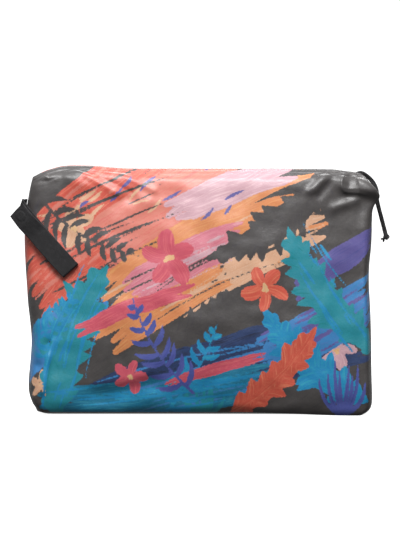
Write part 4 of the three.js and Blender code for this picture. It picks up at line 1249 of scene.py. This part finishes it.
picks = np.linspace(TAPE_LEFT_STEPS, COLUMNS - TAPE_RIGHT_STEPS, TAPE_SECTIONS)
picks = np.unique(picks.round().astype(int))
for side, wall, name in ((-1, front, "zip_tape_front"), (1, back_side, "zip_tape_back")):
    outward = grid_normals(wall, closed=False) * (1 if side < 0 else -1)
    inner_wall = wall - outward * (CLOTH + HEM_THICKNESS + FIT_GAP)
    loop = []
    for k in picks:
        line = tape_line(inner_wall[:, k], side)
        along = unit(np.gradient(line[:, 1:], axis=0))
        down = np.stack([0 * along[:, 0], -side * along[:, 1], side * along[:, 0]], axis=1)
        loop.append(np.concatenate([line, (line + down * TAPE_THICKNESS)[::-1]]))
    loop = np.array(loop)
    rings, count = loop.shape[:2]
    faces = grid_faces(rings, count, closed=True, flip=side > 0).tolist()
    faces += end_faces(rings, count, flip=side < 0)
    tape = build(name + "_woven", loop, faces, tape_mat, smooth=False)
    round_it = lengths_along(loop)
    attribute(tape, "lay", np.stack([loop[:, :, 0], round_it, 0 * round_it], axis=2).reshape(-1, 3))
    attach(tape, "root")
    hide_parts(name)

# The zip's teeth: the line that each follows, as shares of the coil's width and height

TOOTH_PITCH = 1.55
TOOTH_WIDE = 0.56
TOOTH_LINE = [(0.2, 0.22), (0.42, 0.26), (0.44, 0.6), (0.3, 0.76), (-0.02, 0.74), (-0.14, 0.6)]
TOOTH_RADII = [TOOTH_WIDE * 0.9] * 5 + [TOOTH_WIDE * 1.15]
CORE_RADIUS = 0.26
coil_start = front[-1][TAPE_LEFT_STEPS, 0] + COIL_WIDTH
coil_end = slider_x - SLIDER_LENGTH / 6

teeth_mat, tree, shader = new_material("coil_teeth", Roughness=0.36)
lay = read(tree, "lay", vector=True)
shade = remap(tree, noise(tree, lay, 0.9, 2.0), 0.35, 0.65, 0, 1)
tone = mix_colour(tree, shade, pigment(226, 88, 76), pigment(240, 116, 98))
dress(tree, shader, Base_Color=tone, Normal=bump(tree, noise(tree, lay, 6.0, 2.0), 0.0001, 0.4))

parts = []
for i in range(int((coil_end - coil_start) / TOOTH_PITCH) * 2):
    x = coil_start + (i + 0.5) * TOOTH_PITCH / 2
    side = 1 if i % 2 else -1
    foot = float(zip_at(x)) + ZIP_GAP
    line = [(x, side * COIL_WIDTH * y, foot + COIL_HEIGHT * z) for y, z in TOOTH_LINE]
    parts.append(tube(line, TOOTH_RADII, 6))
xs = np.arange(coil_start, coil_end, TOOTH_PITCH / 4)
ripple = np.sin((xs - coil_start) / TOOTH_PITCH * 2 * math.pi)
for side in (-1, 1):
    core_y = side * COIL_WIDTH * (0.3 + 0.015 * ripple)
    core_z = zip_at(xs) + ZIP_GAP + COIL_HEIGHT * 0.86 + 0.05 * ripple
    parts.append(tube(np.stack([xs, core_y, core_z], axis=1), CORE_RADIUS, 5))
points, faces, _ = join_parts(parts)
teeth = build("zip_coil_teeth", points, faces, teeth_mat)
attribute(teeth, "lay", points)
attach(teeth, "root")
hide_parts("zip_coil")

# The slider and the snap keep their solids, with eased edges and their own finish

EASE_SEGMENTS = 3
EASE_ANGLE = 35


def grained(name, scale, dark, light, depth, strength, **sockets):
    """A hard material with a fine grain."""
    mat, tree, shader = new_material(name, **sockets)
    place = node(tree, "TexCoord", out=3)
    grain = noise(tree, place, scale, 3.0)
    tone = mix_colour(tree, grain, pigment(*dark), pigment(*light))
    dress(tree, shader, Base_Color=tone, Normal=bump(tree, grain, depth, strength))
    return mat, tree, shader, place


metal_mat, tree, shader, place = grained(
    "dark_metal", 900.0, (52, 52, 54), (84, 83, 84), 0.00003, 0.5, Metallic=0.9, Roughness=0.38
)
dress(tree, shader, Roughness=remap(tree, noise(tree, place, 300.0, 3.0), 0.3, 0.7, 0.28, 0.5))
plastic_mat = grained("snap_plastic", 700.0, (20, 20, 21), (36, 36, 37), 0.00005, 0.4, Roughness=0.4)[0]
for name, mat, width in (
    ("zip_slider", metal_mat, 0.3),
    ("snap_socket", plastic_mat, 0.25),
    ("snap_stud", plastic_mat, 0.25),
):
    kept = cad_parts[name]
    kept.data.materials.clear()
    kept.data.materials.append(mat)
    eased = kept.modifiers.new("eased", "BEVEL")
    eased.width = width * MM
    eased.segments = EASE_SEGMENTS
    eased.limit_method = "ANGLE"
    eased.angle_limit = math.radians(EASE_ANGLE)

# The strap

slope_angle = math.radians(STRAP_SLOPE)
strap_down = np.array([math.cos(slope_angle), -math.sin(slope_angle)])
strap_across = np.array([-strap_down[1], strap_down[0]])
layer_pitch = STRAP_THICKNESS + FOLD_GAP
snap_pitch = STRAP_THICKNESS + 2 * SNAP_THICKNESS + 3.5 * FIT_GAP


def left_seam_at(z):
    return -HALF_WIDTH * between(SEAMS, "left", z / top_at(np.array(-HALF_WIDTH)))


seam_x = float(left_seam_at(np.array(STRAP_HEIGHT)))
strap_bend = STRAP_LENGTH * strap_down[0] / STRAP_CURVE
strap_end_x = seam_x - STRAP_OUT + STRAP_CURVE * math.sin(strap_bend)
strap_end_z = STRAP_HEIGHT + STRAP_LENGTH * strap_down[1]
strap_clear = 2.5 * FIT_GAP + STRAP_THICKNESS / 2


def front_depth(x, z):
    """Depth of the bag's front at a place seen from the front."""
    low = float(bottom_at(np.array(x), -1))
    level = (z - low) / (float(top_at(np.array(x))) - low)
    line = skin_side(-1, [level])[0]
    return -float(np.interp(x, line[:, 0], line[:, 1]))


strap_end = np.array([strap_end_x, strap_end_z])
strap_end_depth = strap_clear + max(
    front_depth(*(strap_end + strap_across * s * STRAP_WIDTH / 2)) for s in (-1, 0, 1)
)


def sheet_point(along, across, over):
    """A place of the sheet that the strap lies in. Arrays or numbers."""
    flat_x = strap_down[0] * along + strap_across[0] * across
    flat_z = strap_down[1] * along + strap_across[1] * across
    bend = (STRAP_LENGTH * strap_down[0] - flat_x) / STRAP_CURVE
    radius = STRAP_CURVE + over
    return np.stack(
        [
            strap_end_x - radius * np.sin(bend),
            STRAP_CURVE - strap_end_depth - radius * np.cos(bend),
            STRAP_HEIGHT + flat_z + 0 * bend,
        ],
        axis=-1,
    )


# Its rows, from the seam behind, round the fold at the seam, out, round the fold at the end and back over the
# snap, whose round edge presses through

STRAP_ACROSS = 26
ROOT_SHARES = (0, 0.2, 0.4, 0.6, 0.8)
SEAM_FOLD_ROWS = 11
OUT_ROWS = 61
END_FOLD_ROWS = 13
BACK_ROWS = 73
SNAP_PRINT = 0.55
SNAP_PRINT_AT = 1.15
SNAP_PRINT_WIDTH = 0.22
SNAP_SINK = 0.5

slant = -math.tan(slope_angle / 2)
across = np.linspace(-0.5, 0.5, STRAP_ACROSS + 1) * STRAP_WIDTH
fold_radius = layer_pitch / 2
strap_rows = []
for share in ROOT_SHARES:
    z = STRAP_HEIGHT + across
    seam = np.stack([left_seam_at(z) - 1.5 * FIT_GAP - STRAP_THICKNESS / 2, 0 * z, z], axis=1)
    strap_rows.append(lerp(seam, sheet_point(slant * across, across, -layer_pitch), share))
for turn in np.linspace(0, math.pi, SEAM_FOLD_ROWS):
    along = slant * across - fold_radius * math.sin(turn)
    strap_rows.append(sheet_point(along, across, -fold_radius - fold_radius * math.cos(turn)))
for share in np.linspace(0, 1, OUT_ROWS)[1:-1]:
    strap_rows.append(sheet_point(lerp(slant * across, STRAP_LENGTH, share), across, 0 * across))
for turn in np.linspace(0, math.pi, END_FOLD_ROWS):
    along = STRAP_LENGTH + fold_radius * math.sin(turn) + 0 * across
    strap_rows.append(sheet_point(along, across, fold_radius - fold_radius * math.cos(turn)))
for share in np.linspace(0, 1, BACK_ROWS)[1:]:
    along = STRAP_LENGTH * (1 - share)
    near = 1 - smoothstep(along, SNAP_FROM_END + SNAP_DIAMETER / 2, 4 * SNAP_FROM_END)
    away = np.hypot(along - SNAP_FROM_END, across) / (SNAP_DIAMETER / 2)
    edge_print = -SNAP_PRINT * np.exp(-(((away - SNAP_PRINT_AT) / SNAP_PRINT_WIDTH) ** 2))
    emboss = edge_print - SNAP_SINK * smoothstep(away, 1.0, 1.7) * near
    strap_rows.append(sheet_point(along + 0 * across, across, lerp(layer_pitch, snap_pitch, near) + emboss))
strap_rows = np.array(strap_rows)
half_thick = grid_normals(strap_rows, closed=False) * STRAP_THICKNESS / 2
ring = np.concatenate([strap_rows + half_thick, (strap_rows - half_thick)[:, ::-1]], axis=1)
rings, count = ring.shape[:2]
faces = grid_faces(rings, count, closed=True).tolist() + end_faces(rings, count, flip=True)

webbing_mat, tree, shader = new_material("black_webbing", Roughness=0.72, Specular_IOR_Level=0.15)
lay = read(tree, "lay", vector=True)
ribs = wave(tree, lay, 0.42, 0.5, "Y")
weft = wave(tree, lay, 0.3, 0.4, "X")
tone = mix_colour(tree, ribs, pigment(26, 25, 27), pigment(52, 51, 53))
wear = remap(tree, noise(tree, lay, 0.25, 4.0), 0.45, 0.75, 0, 0.5)
tone = mix_colour(tree, wear, tone, pigment(66, 65, 67))
dress(tree, shader, Base_Color=tone, Normal=bump(tree, math_node(tree, "ADD", ribs, weft), 0.0002, 0.7))

strap = build("snap_strap_webbing", ring, faces, webbing_mat)
strap_run = lengths_along(strap_rows[:, STRAP_ACROSS // 2])[:, None]
wide = np.concatenate([across, across[::-1]])[None, :]
attribute(strap, "lay", np.stack(np.broadcast_arrays(strap_run, wide, 0.0), axis=2).reshape(-1, 3))
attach(strap, "root")
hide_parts("snap_strap")

# Floor, light and surroundings

FLOOR_GREY = (0.15, 0.15, 0.15, 1)
FLOOR_GLOW = 0.97
FLOOR_REACH = 60000
WHITE = (1, 1, 1, 1)

floor_mat, tree, shader = new_material(
    "pale_floor", Roughness=0.7, Base_Color=FLOOR_GREY, Emission_Color=WHITE, Emission_Strength=FLOOR_GLOW
)
floor_corners = [(x * FLOOR_REACH, y * FLOOR_REACH, 0) for x, y in ((-1, -1), (1, -1), (1, 1), (-1, 1))]
floor = build("floor", floor_corners, [(0, 1, 2, 3)], floor_mat)
floor.visible_diffuse = False
floor.visible_glossy = False

# The surroundings, brighter towards the top, with a pale band at the horizon

SKY_UNDER = 0.3
SKY_HORIZON = 1.05
SKY_LOW = 0.36
SKY_HIGH = 2.3

world = bpy.data.worlds.new("studio")
bpy.context.scene.world = world
world.use_nodes = True
tree = world.node_tree
direction = node(tree, "SeparateXYZ", {0: node(tree, "TexCoord")}, 2)
under = remap(tree, direction, -0.06, -0.02, SKY_UNDER, SKY_HORIZON)
low = remap(tree, direction, 0.03, 0.06, SKY_HORIZON, SKY_LOW)
high = remap(tree, direction, 0.22, 0.8, SKY_LOW, SKY_HIGH)
level = math_node(tree, "MINIMUM", under, math_node(tree, "MAXIMUM", low, high))
above = remap(tree, direction, 0.0, 0.01, 0, 1)
level = math_node(tree, "MAXIMUM", level, math_node(tree, "MULTIPLY", above, high))
tree.links.new(level, tree.nodes["Background"].inputs[1])
tree.nodes["Background"].inputs[0].default_value = WHITE

# Soft lamps, aimed at the middle of the bag: name, place and size in metres, power in watts

LAMPS = [
    ("top_soft", (-0.15, -0.75, 1.35), (1.0, 0.5), 72),
    ("back_soft", (0.2, 0.9, 1.2), (0.9, 0.5), 20),
]
LAMP_AIM = Vector((0, 0, 0.15))
for name, place_at, size, power in LAMPS:
    data = bpy.data.lights.new(name, "AREA")
    data.shape = "RECTANGLE"
    data.size, data.size_y = size
    data.energy = power
    lamp = bpy.data.objects.new(name, data)
    lamp.location = place_at
    lamp.rotation_euler = (LAMP_AIM - Vector(place_at)).to_track_quat("-Z", "Y").to_euler()
    bpy.context.scene.collection.objects.link(lamp)
bpy.context.scene.view_settings.view_transform = "Standard"
